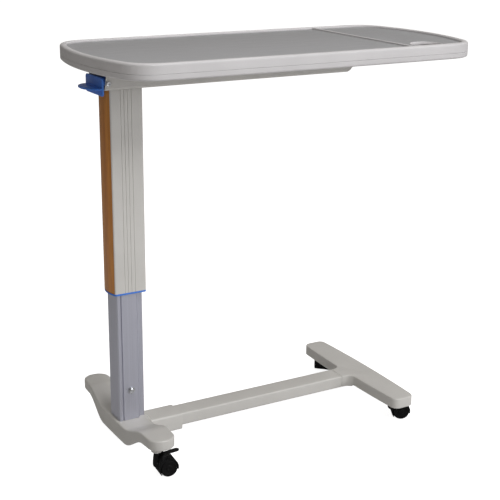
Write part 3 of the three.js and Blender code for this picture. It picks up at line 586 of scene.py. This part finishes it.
def sleeve_outline():
    """A rounded rectangle, fluted on its two broad faces and rebated for a strip on each side."""
    def flutes(sign):
        points = []
        for x in sorted(FLUTES, reverse=sign > 0):
            for step in range(7):
                t = step / 6
                across = FLUTE_HALF * (2 * t - 1) * -sign
                depth = FLUTE_DEPTH * math.sin(math.pi * t)
                points.append((COLUMN_X + x + across, sign * (SLEEVE_HALF_Y - depth)))
        return points

    def rebate(sign):
        inner = COLUMN_X + sign * (SLEEVE_HALF_X - STRIP_DEPTH)
        return [(inner, -sign * STRIP_HALF), (inner, sign * STRIP_HALF)]

    r = SLEEVE_CORNER
    across, along = SLEEVE_HALF_X - r, SLEEVE_HALF_Y - r
    edge = math.degrees(math.asin((STRIP_HALF - along) / r))
    outline = flutes(-1) + arc((COLUMN_X + across, -along), r, -90, -edge, 7) + rebate(1)
    outline += arc((COLUMN_X + across, along), r, edge, 90, 7) + flutes(1)
    outline += arc((COLUMN_X - across, along), r, 90, 180 - edge, 7) + rebate(-1)
    return outline + arc((COLUMN_X - across, -along), r, 180 + edge, 270, 7)


def add_sleeve():
    low, high = SLEEVE_LOW.z, SLEEVE_HIGH.z
    sleeve = prism("column_sleeve", sleeve_outline(), low, high)
    bore = prism("bore", rounded_rect(*BORE, 0.002, (COLUMN_X, 0)), low - 0.01, high + 0.01)
    dress(cut(sleeve, bore), "powder_coat", "lift", "outer_sleeve")


def bowed_side(back, face, half, dome, sign, steps=16):
    """A strip in plan, anticlockwise: flat at the back, a domed face, eased at its two ends."""
    ys = [-half + 2 * half * i / steps for i in range(steps + 1)]
    rise = [dome * (1 - (y / half) ** 2) - STRIP_EASE * (y / half) ** 6 for y in ys]
    front = [(face + sign * out, y) for out, y in zip(rise, ys)]
    outline = [(back, -half)] + front + [(back, half)]
    return outline if sign > 0 else outline[::-1]


def strip_dome(node, face, sign):
    """How far a wood strip stands out of the sleeve's face."""
    low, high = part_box(node)
    return (high.x - face) if sign > 0 else (face - low.x)


STRIP_SIDES = (("left", "wood_strip_left", -1), ("right", "wood_strip_right", 1))


def add_strips():
    low, high = SLEEVE_LOW.z + CLEARANCE, SLEEVE_HIGH.z - CLEARANCE
    half = STRIP_HALF - CLEARANCE
    for name, node, sign in STRIP_SIDES:
        face = COLUMN_X + sign * SLEEVE_HALF_X
        back = face - sign * (STRIP_DEPTH - CLEARANCE)
        outline = bowed_side(back, face, half, strip_dome(node, face, sign), sign)
        strip = prism("wood_trim_" + name, outline, low, high, radius=0.0005, steps=3)
        dress(strip, "wood_trim", "lift", node)


def add_ring():
    low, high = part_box("guide_ring")
    flange_top = SLEEVE_LOW.z - CLEARANCE
    outline = rounded_rect(SLEEVE_HALF_X, SLEEVE_HALF_Y, SLEEVE_CORNER, (COLUMN_X, 0))
    ring = prism("sleeve_ring", outline, low.z, flange_top, radius=0.0011)
    for name, node, sign in STRIP_SIDES:
        face = COLUMN_X + sign * SLEEVE_HALF_X
        bow = bowed_side(face - sign * 0.004, face, STRIP_HALF, strip_dome(node, face, sign), sign)
        joined(ring, prism("bow_" + name, bow, low.z, flange_top, radius=0.0011))
    collar_outline = rounded_rect(BORE[0] - CLEARANCE, BORE[1] - CLEARANCE, 0.002, (COLUMN_X, 0))
    joined(ring, prism("collar", collar_outline, low.z + 0.002, high.z))
    column_low, column_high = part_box("inner_column")
    half_x, half_y = (column_high.x - column_low.x) / 2, column_high.y
    passage = rounded_rect(half_x + 0.0005, half_y + 0.0005, 0.001, (COLUMN_X, 0), steps=2)
    dress(cut(ring, prism("passage", passage, low.z - 0.01, high.z + 0.01)),
          "blue_plastic", "lift", "guide_ring")


# ---------------------------------------------------------------- release lever
def add_lever():
    low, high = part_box("release_lever")
    joint = next(j for j in frame["joints"] if j["name"] == "lever_pull")
    pivot_x, _, pivot_z = joint["pos_m"]
    half = high.y
    plate_outer = low.x + 0.030
    plate_inner = plate_outer + 0.004
    middle = (low.z + high.z) / 2
    plate_outline = rounded_rect(half, (high.z - low.z) / 2, 0.006, (0, middle))
    lever = prism("lever_paddle", plate_outline, plate_outer, plate_inner, "X", radius=0.0013)
    reach, paddle_z, thick = 0.030, 0.8375, 0.0035
    sweep = [math.radians(90 + 180 * i / 32) for i in range(33)]
    ellipse = [(plate_outer + reach * math.cos(a), half * math.sin(a)) for a in sweep]
    root = plate_outer + 0.0034
    outline = [(root, half)] + ellipse + [(root, -half)]
    paddle = prism("paddle", outline, paddle_z - thick / 2, paddle_z + thick / 2, radius=0.0011)
    arm_low, arm_high = 0.848, 0.856
    web = block("web", (plate_inner - 0.001, -0.038, arm_low - 0.002), (pivot_x + 0.008, 0.038, arm_high))
    hub = bar("hub", 0.008, (pivot_x, 0, pivot_z), -0.043, 0.043, "Y")
    arm = block("arm", (pivot_x, -0.006, arm_low), (high.x, 0.006, arm_high))
    hole = bar("hole", 0.0043, (pivot_x, 0, pivot_z), -0.06, 0.06, "Y")
    dress(cut(joined(lever, paddle, web, hub, arm), hole), "blue_plastic", "lever", "release_lever")


# ---------------------------------------------------------------- base
FOOT_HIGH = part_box("column_foot")[1]
FOOT_X = -0.361
FOOT_HALF = FOOT_HIGH.y
FOOT_END_HALF = 0.0285
FOOT_BOW = 0.008
FOOT_CORNER = 0.028
FOOT_MID_TOP, FOOT_END_TOP = 0.083, FOOT_HIGH.z
FOOT_MID_BOTTOM, FOOT_END_BOTTOM = 0.044, 0.083
RAMP = (0.060, 0.150)
FOOT_WALL, FOOT_ROOF = 0.004, 0.007
STEM_ROOM = 0.0053
STEM_BOTTOM, STEM_TOP = 0.0573, 0.0665
BOSS_RADIUS = 0.012
BOSS_BOTTOM = 0.0586


def smooth_step(t):
    t = min(max(t, 0.0), 1.0)
    return t * t * (3 - 2 * t)


def foot_stations(half, corner):
    """Places along the foot, dense where it ramps and where its ends are round."""
    straight = half - corner
    inner = [straight * i / 44 for i in range(45)]
    rounding = [straight + corner * math.sin(math.radians(90 * i / 14)) for i in range(1, 15)]
    right = inner + rounding
    return [-y for y in reversed(right[1:])] + right


def foot_plan(wall):
    """The column foot from above, anticlockwise: its right side front to back, then its left."""
    half, corner = FOOT_HALF - wall, FOOT_CORNER - wall
    end_half = FOOT_END_HALF - wall
    straight = half - corner

    def half_width(y):
        limit = min(abs(y), straight)
        width = end_half + FOOT_BOW * (1 - (limit / half) ** 2)
        if abs(y) <= straight:
            return width
        return width - corner + math.sqrt(max(corner ** 2 - (abs(y) - straight) ** 2, 0))

    stations = foot_stations(half, corner)
    right = [(FOOT_X + half_width(y), y) for y in stations]
    return right + [(2 * FOOT_X - x, y) for x, y in reversed(right)]


def foot_body(name, wall=0.0, drop=0.0, radius=0.0, steps=5):
    """The column foot: low in the middle, rising to each end. wall shrinks it in plan."""
    outline = foot_plan(wall)
    lows = [(radius * (1 - math.sin(math.pi / 2 * i / steps)),
             radius * (1 - math.cos(math.pi / 2 * i / steps))) for i in range(steps + 1)]
    levels = [(inset, depth, "low") for inset, depth in lows]
    levels += [(inset, depth, "high") for inset, depth in reversed(lows)]
    if radius == 0:
        levels = [(0, 0, "low"), (0, 0, "high")]
    points = []
    for inset, depth, side in levels:
        for x, y in offset(outline, inset) if inset else outline:
            rise = smooth_step((abs(y) - RAMP[0]) / (RAMP[1] - RAMP[0]))
            if side == "low":
                z = FOOT_MID_BOTTOM + (FOOT_END_BOTTOM - FOOT_MID_BOTTOM) * rise + depth
            else:
                z = FOOT_MID_TOP + (FOOT_END_TOP - FOOT_MID_TOP) * rise - depth
            points.append((x, y, z - drop))
    count = len(outline)
    faces = []
    for level in range(len(levels) - 1):
        low, high = level * count, (level + 1) * count
        for i in range(count):
            j = (i + 1) % count
            faces.append((low + i, low + j, high + j, high + i))
    last = (len(levels) - 1) * count
    for i in range(count // 2 - 1):
        across = (i, i + 1, count - 2 - i, count - 1 - i)
        faces.append(tuple(reversed(across)))
        faces.append(tuple(last + corner for corner in across))
    return mesh_object(name, points, faces)


def stem_places(side):
    """The stem axis of each caster on one side of the base: -1 the column foot, 1 the end foot."""
    return [place for place in CASTER_PLACES.values() if place[0] * side > 0]


def caster_places():
    places = {}
    for joint in frame["joints"]:
        if joint["name"].startswith("swivel_turn_"):
            tag = joint["name"][len("swivel_turn_"):]
            places[tag] = (joint["pos_m"][0], joint["pos_m"][1])
    return places


def fit_stems(foot, side, top):
    """A boss in a foot for each of its caster stems, bored from below."""
    for x, y in stem_places(side):
        joined(foot, bar("boss", BOSS_RADIUS, (x, y, 0), BOSS_BOTTOM, top))
        cut(foot, bar("room", STEM_ROOM, (x, y, 0), STEM_BOTTOM, STEM_TOP))


CASTER_PLACES = caster_places()
TUBE_LOW, TUBE_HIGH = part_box("crossbar_tube")
TUBE_HALF_Z = (TUBE_HIGH.z - TUBE_LOW.z) / 2
TUBE_Z = (TUBE_HIGH.z + TUBE_LOW.z) / 2
TUBE_CORNER = 0.004
SOCKET = {"half": 0.0302, "low": 0.030, "high": 0.070, "right": FOOT_HIGH.x, "corner": 0.005}


def add_column_foot():
    body = foot_body("foot_under_column", radius=0.0034)
    inside = foot_body("inside", FOOT_WALL, FOOT_ROOF)
    middle = block("middle", (-0.43, -0.042, 0), (-0.29, 0.042, 0.2))
    cut(body, cut(inside, middle))
    start = FOOT_X + FOOT_END_HALF - 0.0055
    half_height = (SOCKET["high"] - SOCKET["low"]) / 2
    centre = (0, (SOCKET["high"] + SOCKET["low"]) / 2)
    socket_outline = rounded_rect(SOCKET["half"], half_height, SOCKET["corner"], centre)
    socket = prism("socket", socket_outline, start, SOCKET["right"], "X", radius=0.0012)
    web_outline = [(start, 0.064), (FOOT_X + 0.050, 0.064), (FOOT_X + 0.050, 0.0695),
                   (FOOT_X + 0.036, FOOT_MID_TOP), (start, FOOT_MID_TOP)]
    web = prism("web", web_outline, -0.024, 0.024, "Y")
    joined(body, socket, web)
    fit_stems(body, -1, FOOT_END_TOP - 0.005)
    bore = rounded_rect(TUBE_HIGH.y + CLEARANCE, TUBE_HALF_Z + CLEARANCE, TUBE_CORNER, (0, TUBE_Z))
    cut(body, prism("bore", bore, TUBE_LOW.x - CLEARANCE, SOCKET["right"] + 0.01, "X"))
    dress(body, "powder_coat", "base", "column_foot")


END_X = 0.2745
END_HALF = 0.204
END_END_HALF = 0.0284
END_BOW_SIDE = 0.006
END_CORNER = 0.017
END_TOP, END_BOTTOM = 0.0676, 0.0428
END_FILLET = 0.018
END_WALL = 0.0035
END_CEILING = 0.0615
NECK_HALF = 0.0306


def end_foot_plan(wall=0.0, neck=True):
    """The end foot, anticlockwise, with a neck towards the crossbar and a fillet on each side."""
    half, corner, end_half = END_HALF - wall, END_CORNER - wall, END_END_HALF - wall
    straight = half - corner

    def width(y):
        return end_half + END_BOW_SIDE * (1 - (y / half) ** 2)

    end_width = width(straight)
    flat = end_width - corner
    steps = 28
    ys = [-straight + 2 * straight * i / steps for i in range(steps + 1)]
    right = [(END_X + width(y), y) for y in ys]
    outline = right + arc((END_X + flat, straight), corner, 0, 90, 8)[1:]
    outline += arc((END_X - flat, straight), corner, 90, 180, 8)
    root = TUBE_HIGH.y + END_FILLET
    if neck:
        outline += [(END_X - width(y), y) for y in reversed(ys) if y > root + 0.002][1:]
        edge = END_X - width(root)
        outline += arc((edge - END_FILLET, root), END_FILLET, 0, -90, 8)
        start = TUBE_HIGH.x + CLEARANCE
        outline += [(start, TUBE_HIGH.y), (start, -TUBE_HIGH.y)]
        outline += arc((edge - END_FILLET, -root), END_FILLET, 90, 0, 8)
        outline += [(END_X - width(y), y) for y in reversed(ys) if y < -root - 0.002][:-1]
    else:
        outline += [(END_X - width(y), y) for y in reversed(ys)][1:-1]
    outline += arc((END_X - flat, -straight), corner, 180, 270, 8)
    return outline + arc((END_X + flat, -straight), corner, 270, 360, 8)[:-1]


def add_end_foot():
    low = TUBE_LOW.z
    foot = prism("foot_at_end", end_foot_plan(), low, END_TOP, radius=0.0028)
    left, inner, right = END_X - 0.06, END_X - 0.030, END_X + 0.06
    far = 0.25
    under = [(right, -far), (right, far), (left, far), (left, NECK_HALF), (inner, NECK_HALF),
             (inner, -NECK_HALF), (left, -NECK_HALF), (left, -far)]
    cut(foot, prism("under", under, 0, END_BOTTOM))
    cut(foot, prism("hollow", end_foot_plan(END_WALL, False), low - 0.002, END_CEILING))
    half_plug = (TUBE_HIGH.y - 0.0023, TUBE_HALF_Z - 0.0023)
    plug_outline = rounded_rect(*half_plug, 0.002, (0, TUBE_Z))
    plug_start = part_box("end_foot")[0].x
    joined(foot, prism("plug", plug_outline, plug_start, TUBE_HIGH.x + 0.002, "X"))
    fit_stems(foot, 1, END_CEILING + 0.002)
    dress(foot, "powder_coat", "base", "end_foot")


def add_crossbar():
    wall = 0.002
    rings = []
    end, rubbed = TUBE_HIGH.x, 0.0009
    for shrink, x in ((0, TUBE_LOW.x), (0, end - 0.0014), (rubbed, end), (wall, end), (wall, TUBE_LOW.x)):
        outline = rounded_rect(TUBE_HIGH.y - shrink, TUBE_HALF_Z - shrink, TUBE_CORNER - shrink / 2,
                               (0, TUBE_Z))
        rings.append([(x, u, v) for u, v in outline])
    dress(loft("crossbar", rings, closed=True), "powder_coat", "base", "crossbar_tube")


# ---------------------------------------------------------------- casters
WHEEL_RADIUS = 0.020
TRAIL = 0.022
WEB_HALF = 0.005
HOOD_HALF = 0.0206
HOOD_RADIUS = 0.0226
HOOD_TOP = 0.056
HOOD_EDGE = 0.0022
TURRET_BOTTOM = 0.0423
WHEEL_ROOM = 0.0206
AXLE_BORE = 0.0033
PEDAL_X, PEDAL_Z = 0.016, 0.049


def heading(tag):
    """The turn of a caster about its stem, from the direction of its axle."""
    joint = next(j for j in frame["joints"] if j["name"] == "wheel_roll_" + tag)
    return math.atan2(-joint["axis"][0], joint["axis"][1])


def at_caster(obj, tag):
    """Moves a piece drawn at the origin, trailing towards +X, onto its caster."""
    x, y = CASTER_PLACES[tag]
    obj.data.transform(Matrix.Translation((x, y, 0)) @ Matrix.Rotation(heading(tag), 4, "Z"))
    return obj


def hood_outline():
    """Side view, anticlockwise: a skirt by the swivel, a crown over the wheels, an open bottom."""
    back = TRAIL - HOOD_RADIUS
    skirt = [(back + 0.0040, 0.0062), (back + 0.0009, 0.0120), (back, 0.0190), (back, 0.0265)]
    shoulder = quadratic((back, 0.0265), (back + 0.0005, 0.0445), (back + 0.0105, HOOD_TOP), 7)[1:]
    crown = quadratic((back + 0.0105, HOOD_TOP), (TRAIL + 0.004, HOOD_TOP + 0.001),
                      (TRAIL + 0.0105, 0.0475), 6)[1:]
    over = arc((TRAIL, WHEEL_RADIUS), HOOD_RADIUS, 52, -12, 16)
    outline = skirt + shoulder + crown + over + [(TRAIL + 0.0165, 0.0135), (TRAIL + 0.004, 0.0105)]
    return list(reversed(outline))


def add_hood(tag, brake):
    hood = prism("caster_hood_" + tag, hood_outline(), -HOOD_HALF, HOOD_HALF, "Y", radius=HOOD_EDGE)
    above = block("above", (-0.03, -0.04, TURRET_BOTTOM), (0.07, 0.04, 0.07))
    turret = turned("turret", [(0, 0.02), (0.0235, 0.02), (0.0235, 0.0345), (0.0230, 0.0395),
                               (0.0220, 0.0440), (0.0207, 0.0480), (0.0190, HOOD_TOP - 0.0010),
                               (0.0180, HOOD_TOP), (0, HOOD_TOP)], steps=64)
    neck = prism("neck", hood_outline(), -HOOD_HALF, HOOD_HALF, "Y", radius=HOOD_EDGE)
    combine(neck, [turret], "INTERSECT")
    cut(hood, above)
    housing = turned("housing", [(0, 0.0200), (0.0060, 0.0205), (0.0082, 0.0235), (0.0091, 0.0280),
                                 (0.0090, 0.0340), (0.0083, 0.0430), (0.0072, 0.0520),
                                 (0.0068, HOOD_TOP - 0.0002), (0, HOOD_TOP - 0.0002)], steps=40)
    joined(hood, neck, housing)
    for side in (-1, 1):
        low, high = sorted((side * WEB_HALF, side * (HOOD_HALF + 0.003)))
        cut(hood, bar("room", WHEEL_ROOM, (TRAIL, 0, WHEEL_RADIUS), low, high, "Y", 72))
    cut(hood, bar("stem_bore", STEM_ROOM, (0, 0, 0), 0.037, HOOD_TOP + 0.001),
        bar("axle_bore", AXLE_BORE, (TRAIL, 0, WHEEL_RADIUS), -0.01, 0.01, "Y"))
    if brake:
        cut(hood, block("slot", (0.011, -0.0072, 0.0435), (TRAIL + 0.03, 0.0072, HOOD_TOP + 0.001)),
            bar("socket", 0.0023, (PEDAL_X, 0, PEDAL_Z), -0.0102, 0.0102, "Y"))
    soften(hood, 0.0004, 2, 40)
    dress(at_caster(hood, tag), "black_plastic", "swivel_" + tag, "hood_" + tag)


def add_wheel(tag, letter, side):
    """One wheel: a crowned tread, a dished face with a raised hub, and a bore for the axle."""
    inner, width = WEB_HALF + CLEARANCE, 0.015
    hub_face, cap_inside = width - 0.0003, 0.0131
    profile = [(AXLE_BORE, 0), (WHEEL_RADIUS - 0.0016, 0), (WHEEL_RADIUS - 0.0003, 0.0012)]
    profile += [(WHEEL_RADIUS, 0.003), (WHEEL_RADIUS, width - 0.0035)]
    profile += [(WHEEL_RADIUS - 0.0005, width - 0.0018), (WHEEL_RADIUS - 0.0017, width - 0.0004)]
    profile += [(WHEEL_RADIUS - 0.0028, width), (0.0155, width), (0.0150, width - 0.0011)]
    profile += [(0.0145, width - 0.0013), (0.0075, width - 0.0013), (0.0070, width - 0.0008)]
    profile += [(0.0064, width - 0.0002), (0.0058, width), (0.0030, width), (0.0022, hub_face)]
    profile += [(0, hub_face), (0, cap_inside), (AXLE_BORE, cap_inside)]
    placed = [(radius, side * (inner + height)) for radius, height in profile]
    wheel = turned(f"caster_wheel_{letter}_{tag}", placed, (TRAIL, 0, WHEEL_RADIUS), "Y", 72, True)
    dress(at_caster(wheel, tag), "black_wheel", "wheelset_" + tag, f"wheel_{letter}_{tag}")


def add_pedal(tag):
    """A flat blade that swells into a rounded pad, on two short trunnions."""
    tilt = math.radians(6)
    reach = 0.036
    tongue, pad = 0.006, 0.0068
    heel, swell, full = -0.0035, 0.012, 0.018
    tip = arc((reach - pad, 0), pad, -90, 90, 12)
    outline = [(heel, -tongue), (swell, -tongue), (full, -pad)] + tip
    outline += [(full, pad), (swell, tongue), (heel, tongue)]
    pedal = prism("pedal_" + tag, outline, -0.0016, 0.0016, radius=0.0009)
    joined(pedal, bar("trunnion", 0.002, (0, 0, 0), -0.0094, 0.0094, "Y", 24))
    pedal.data.transform(Matrix.Translation((PEDAL_X, 0, PEDAL_Z)) @ Matrix.Rotation(-tilt, 4, "Y"))
    dress(at_caster(pedal, tag), "black_plastic", "pedal_" + tag, "brake_pedal_" + tag)


# ---------------------------------------------------------------- visible fasteners
def bolt_profile(head_radius, shank_radius, face, reach, head_height):
    """A domed head outside the face and a shank that runs to reach, along +Y."""
    start = face - head_height
    recess = [(0, start + 0.0011), (0.0017, start + 0.0011), (0.0020, start + 0.0003)]
    head = [(head_radius * 0.66, start), (head_radius * 0.86, start + head_height * 0.14),
            (head_radius, start + head_height * 0.42), (head_radius, face)]
    return recess + head + [(shank_radius, face), (shank_radius, reach), (0, reach)]


def add_bolts():
    for name, node, face, reach in (
        ("column_bolt_head", "column_bolt", -0.0281, 0.034),
        ("pivot_bolt_head", "lever_pivot_bolt", -0.0463, 0.054),
    ):
        low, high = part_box(node)
        centre = ((low.x + high.x) / 2, 0, (low.z + high.z) / 2)
        head_radius = (high.x - low.x) / 2
        profile = bolt_profile(head_radius, 0.004, face, min(reach, high.y), face - low.y)
        bolt = turned(name, profile, centre, "Y", 48)
        dress(bolt, "zinc_plate", "base" if node == "column_bolt" else "lift", node)


# ---------------------------------------------------------------- carried-over CAD nodes
def refine(node, width):
    """Merges a CAD node's facets into faces, then rounds its edges slightly."""
    obj = frame["nodes"][node]
    obj.data.polygons.foreach_set("use_smooth", [True] * len(obj.data.polygons))
    custom = obj.data.attributes.get("custom_normal")
    if custom:
        obj.data.attributes.remove(custom)
    obj.modifiers.new("weld", "WELD").merge_threshold = 1e-6
    planar = obj.modifiers.new("planar", "DECIMATE")
    planar.decimate_type = "DISSOLVE"
    planar.angle_limit = math.radians(1)
    bevel = obj.modifiers.new("edges", "BEVEL")
    bevel.width = width
    bevel.segments = 2
    bevel.limit_method = "ANGLE"
    bevel.angle_limit = math.radians(28)
    bevel.harden_normals = True


def dress_cad_nodes():
    slots = {part["node"]: part["material_slot"] for part in frame["record"]["subparts"]}
    for name, obj in frame["nodes"].items():
        obj.data.materials.clear()
        obj.data.materials.append(FINISHES[slots[name]])
    refine("support_arm", 0.0009)
    refine("inner_column", 0.0005)
    refine("upper_glide", 0.0006)


# ---------------------------------------------------------------- studio
FLOOR_HALF = 40.0
FLOOR_GLOW = 0.92  # lifts the floor to the backdrop's white for the camera only
CAMERA_PLACE = Vector((-1.2973, -2.1867, 1.2092))
CAMERA_YAW, CAMERA_PITCH, CAMERA_ROLL = 0.52133, 0.29973, 0.00852
CAMERA_LENS, CAMERA_SENSOR = 81.67, 36.0


def add_floor():
    corners = [(-FLOOR_HALF, -FLOOR_HALF), (FLOOR_HALF, -FLOOR_HALF),
               (FLOOR_HALF, FLOOR_HALF), (-FLOOR_HALF, FLOOR_HALF)]
    floor = mesh_object("studio_floor", [(x, y, 0) for x, y in corners], [(0, 1, 2, 3)])
    finish = Finish("studio_floor", 0.9)
    shade_of = finish.spread(finish.noise(0.6, 2.0), 0, 1)
    finish.colour(finish.blend(shade_of, linear(205, 205, 205), linear(212, 212, 212)))
    seen = finish.tree.nodes.new("ShaderNodeLightPath")
    finish.shader.inputs["Emission Color"].default_value = (1.0, 1.0, 1.0, 1.0)
    glow = finish.tree.nodes.new("ShaderNodeMath")
    glow.operation = "MULTIPLY"
    finish.link(seen.outputs["Is Camera Ray"], glow.inputs[0])
    glow.inputs[1].default_value = FLOOR_GLOW
    finish.link(glow.outputs["Value"], finish.shader.inputs["Emission Strength"])
    floor.data.materials.append(finish.material)


def add_light(name, place, target, size, power, colour=(1.0, 1.0, 1.0)):
    lamp = bpy.data.lights.new(name, "AREA")
    lamp.color = colour
    lamp.shape = "RECTANGLE"
    lamp.size = size
    lamp.size_y = size * 0.8
    lamp.energy = power
    obj = bpy.data.objects.new(name, lamp)
    obj.location = place
    direction = Vector(target) - Vector(place)
    obj.rotation_euler = direction.to_track_quat("-Z", "Y").to_euler()
    bpy.context.scene.collection.objects.link(obj)


def add_world():
    world = bpy.data.worlds.new("studio")
    world.use_nodes = True
    nodes, links = world.node_tree.nodes, world.node_tree.links
    seen = nodes.new("ShaderNodeLightPath")
    fill = nodes["Background"]
    fill.inputs["Color"].default_value = (1.0, 0.95, 0.88, 1.0)
    fill.inputs["Strength"].default_value = 0.21
    backdrop = nodes.new("ShaderNodeBackground")
    backdrop.inputs["Color"].default_value = (1.0, 1.0, 1.0, 1.0)
    mix = nodes.new("ShaderNodeMixShader")
    links.new(seen.outputs["Is Camera Ray"], mix.inputs[0])
    links.new(fill.outputs[0], mix.inputs[1])
    links.new(backdrop.outputs[0], mix.inputs[2])
    links.new(mix.outputs[0], nodes["World Output"].inputs["Surface"])
    bpy.context.scene.world = world


def add_camera():
    yaw, pitch, roll = CAMERA_YAW, CAMERA_PITCH, CAMERA_ROLL
    ahead = Vector((math.sin(yaw) * math.cos(pitch), math.cos(yaw) * math.cos(pitch), -math.sin(pitch)))
    level = Vector((math.cos(yaw), -math.sin(yaw), 0))
    above = level.cross(ahead)
    right = math.cos(roll) * level + math.sin(roll) * above
    up = -math.sin(roll) * level + math.cos(roll) * above
    data = bpy.data.cameras.new("studio_view")
    data.lens = CAMERA_LENS
    data.sensor_width = CAMERA_SENSOR
    data.clip_end = 200
    camera = bpy.data.objects.new("studio_view", data)
    axes = Matrix((right, up, -ahead)).transposed()
    camera.matrix_world = Matrix.Translation(CAMERA_PLACE) @ axes.to_4x4()
    bpy.context.scene.collection.objects.link(camera)
    bpy.context.scene.camera = camera


def add_studio():
    add_floor()
    add_world()
    middle = (0, 0, 0.5)
    add_light("key", (2.9, -4.2, 2.2), middle, 2.8, 84, (0.96, 0.97, 1.0))
    add_light("front", (0.3, -3.6, 5.2), (0, 0, 0.1), 3.0, 172)
    add_light("top", (0.2, 0.5, 3.6), middle, 3.0, 20)
    add_camera()
    bpy.context.scene.view_settings.view_transform = "Standard"


add_lower_shell()
add_upper_shell()
add_cup_bezel()
add_surface_sheets()
add_sleeve()
add_strips()
add_ring()
add_lever()
add_column_foot()
add_end_foot()
add_crossbar()
for caster in CASTER_PLACES:
    has_brake = caster.startswith("column")
    add_hood(caster, has_brake)
    add_wheel(caster, "a", -1)
    add_wheel(caster, "b", 1)
    if has_brake:
        add_pedal(caster)
add_bolts()
dress_cad_nodes()
add_studio()
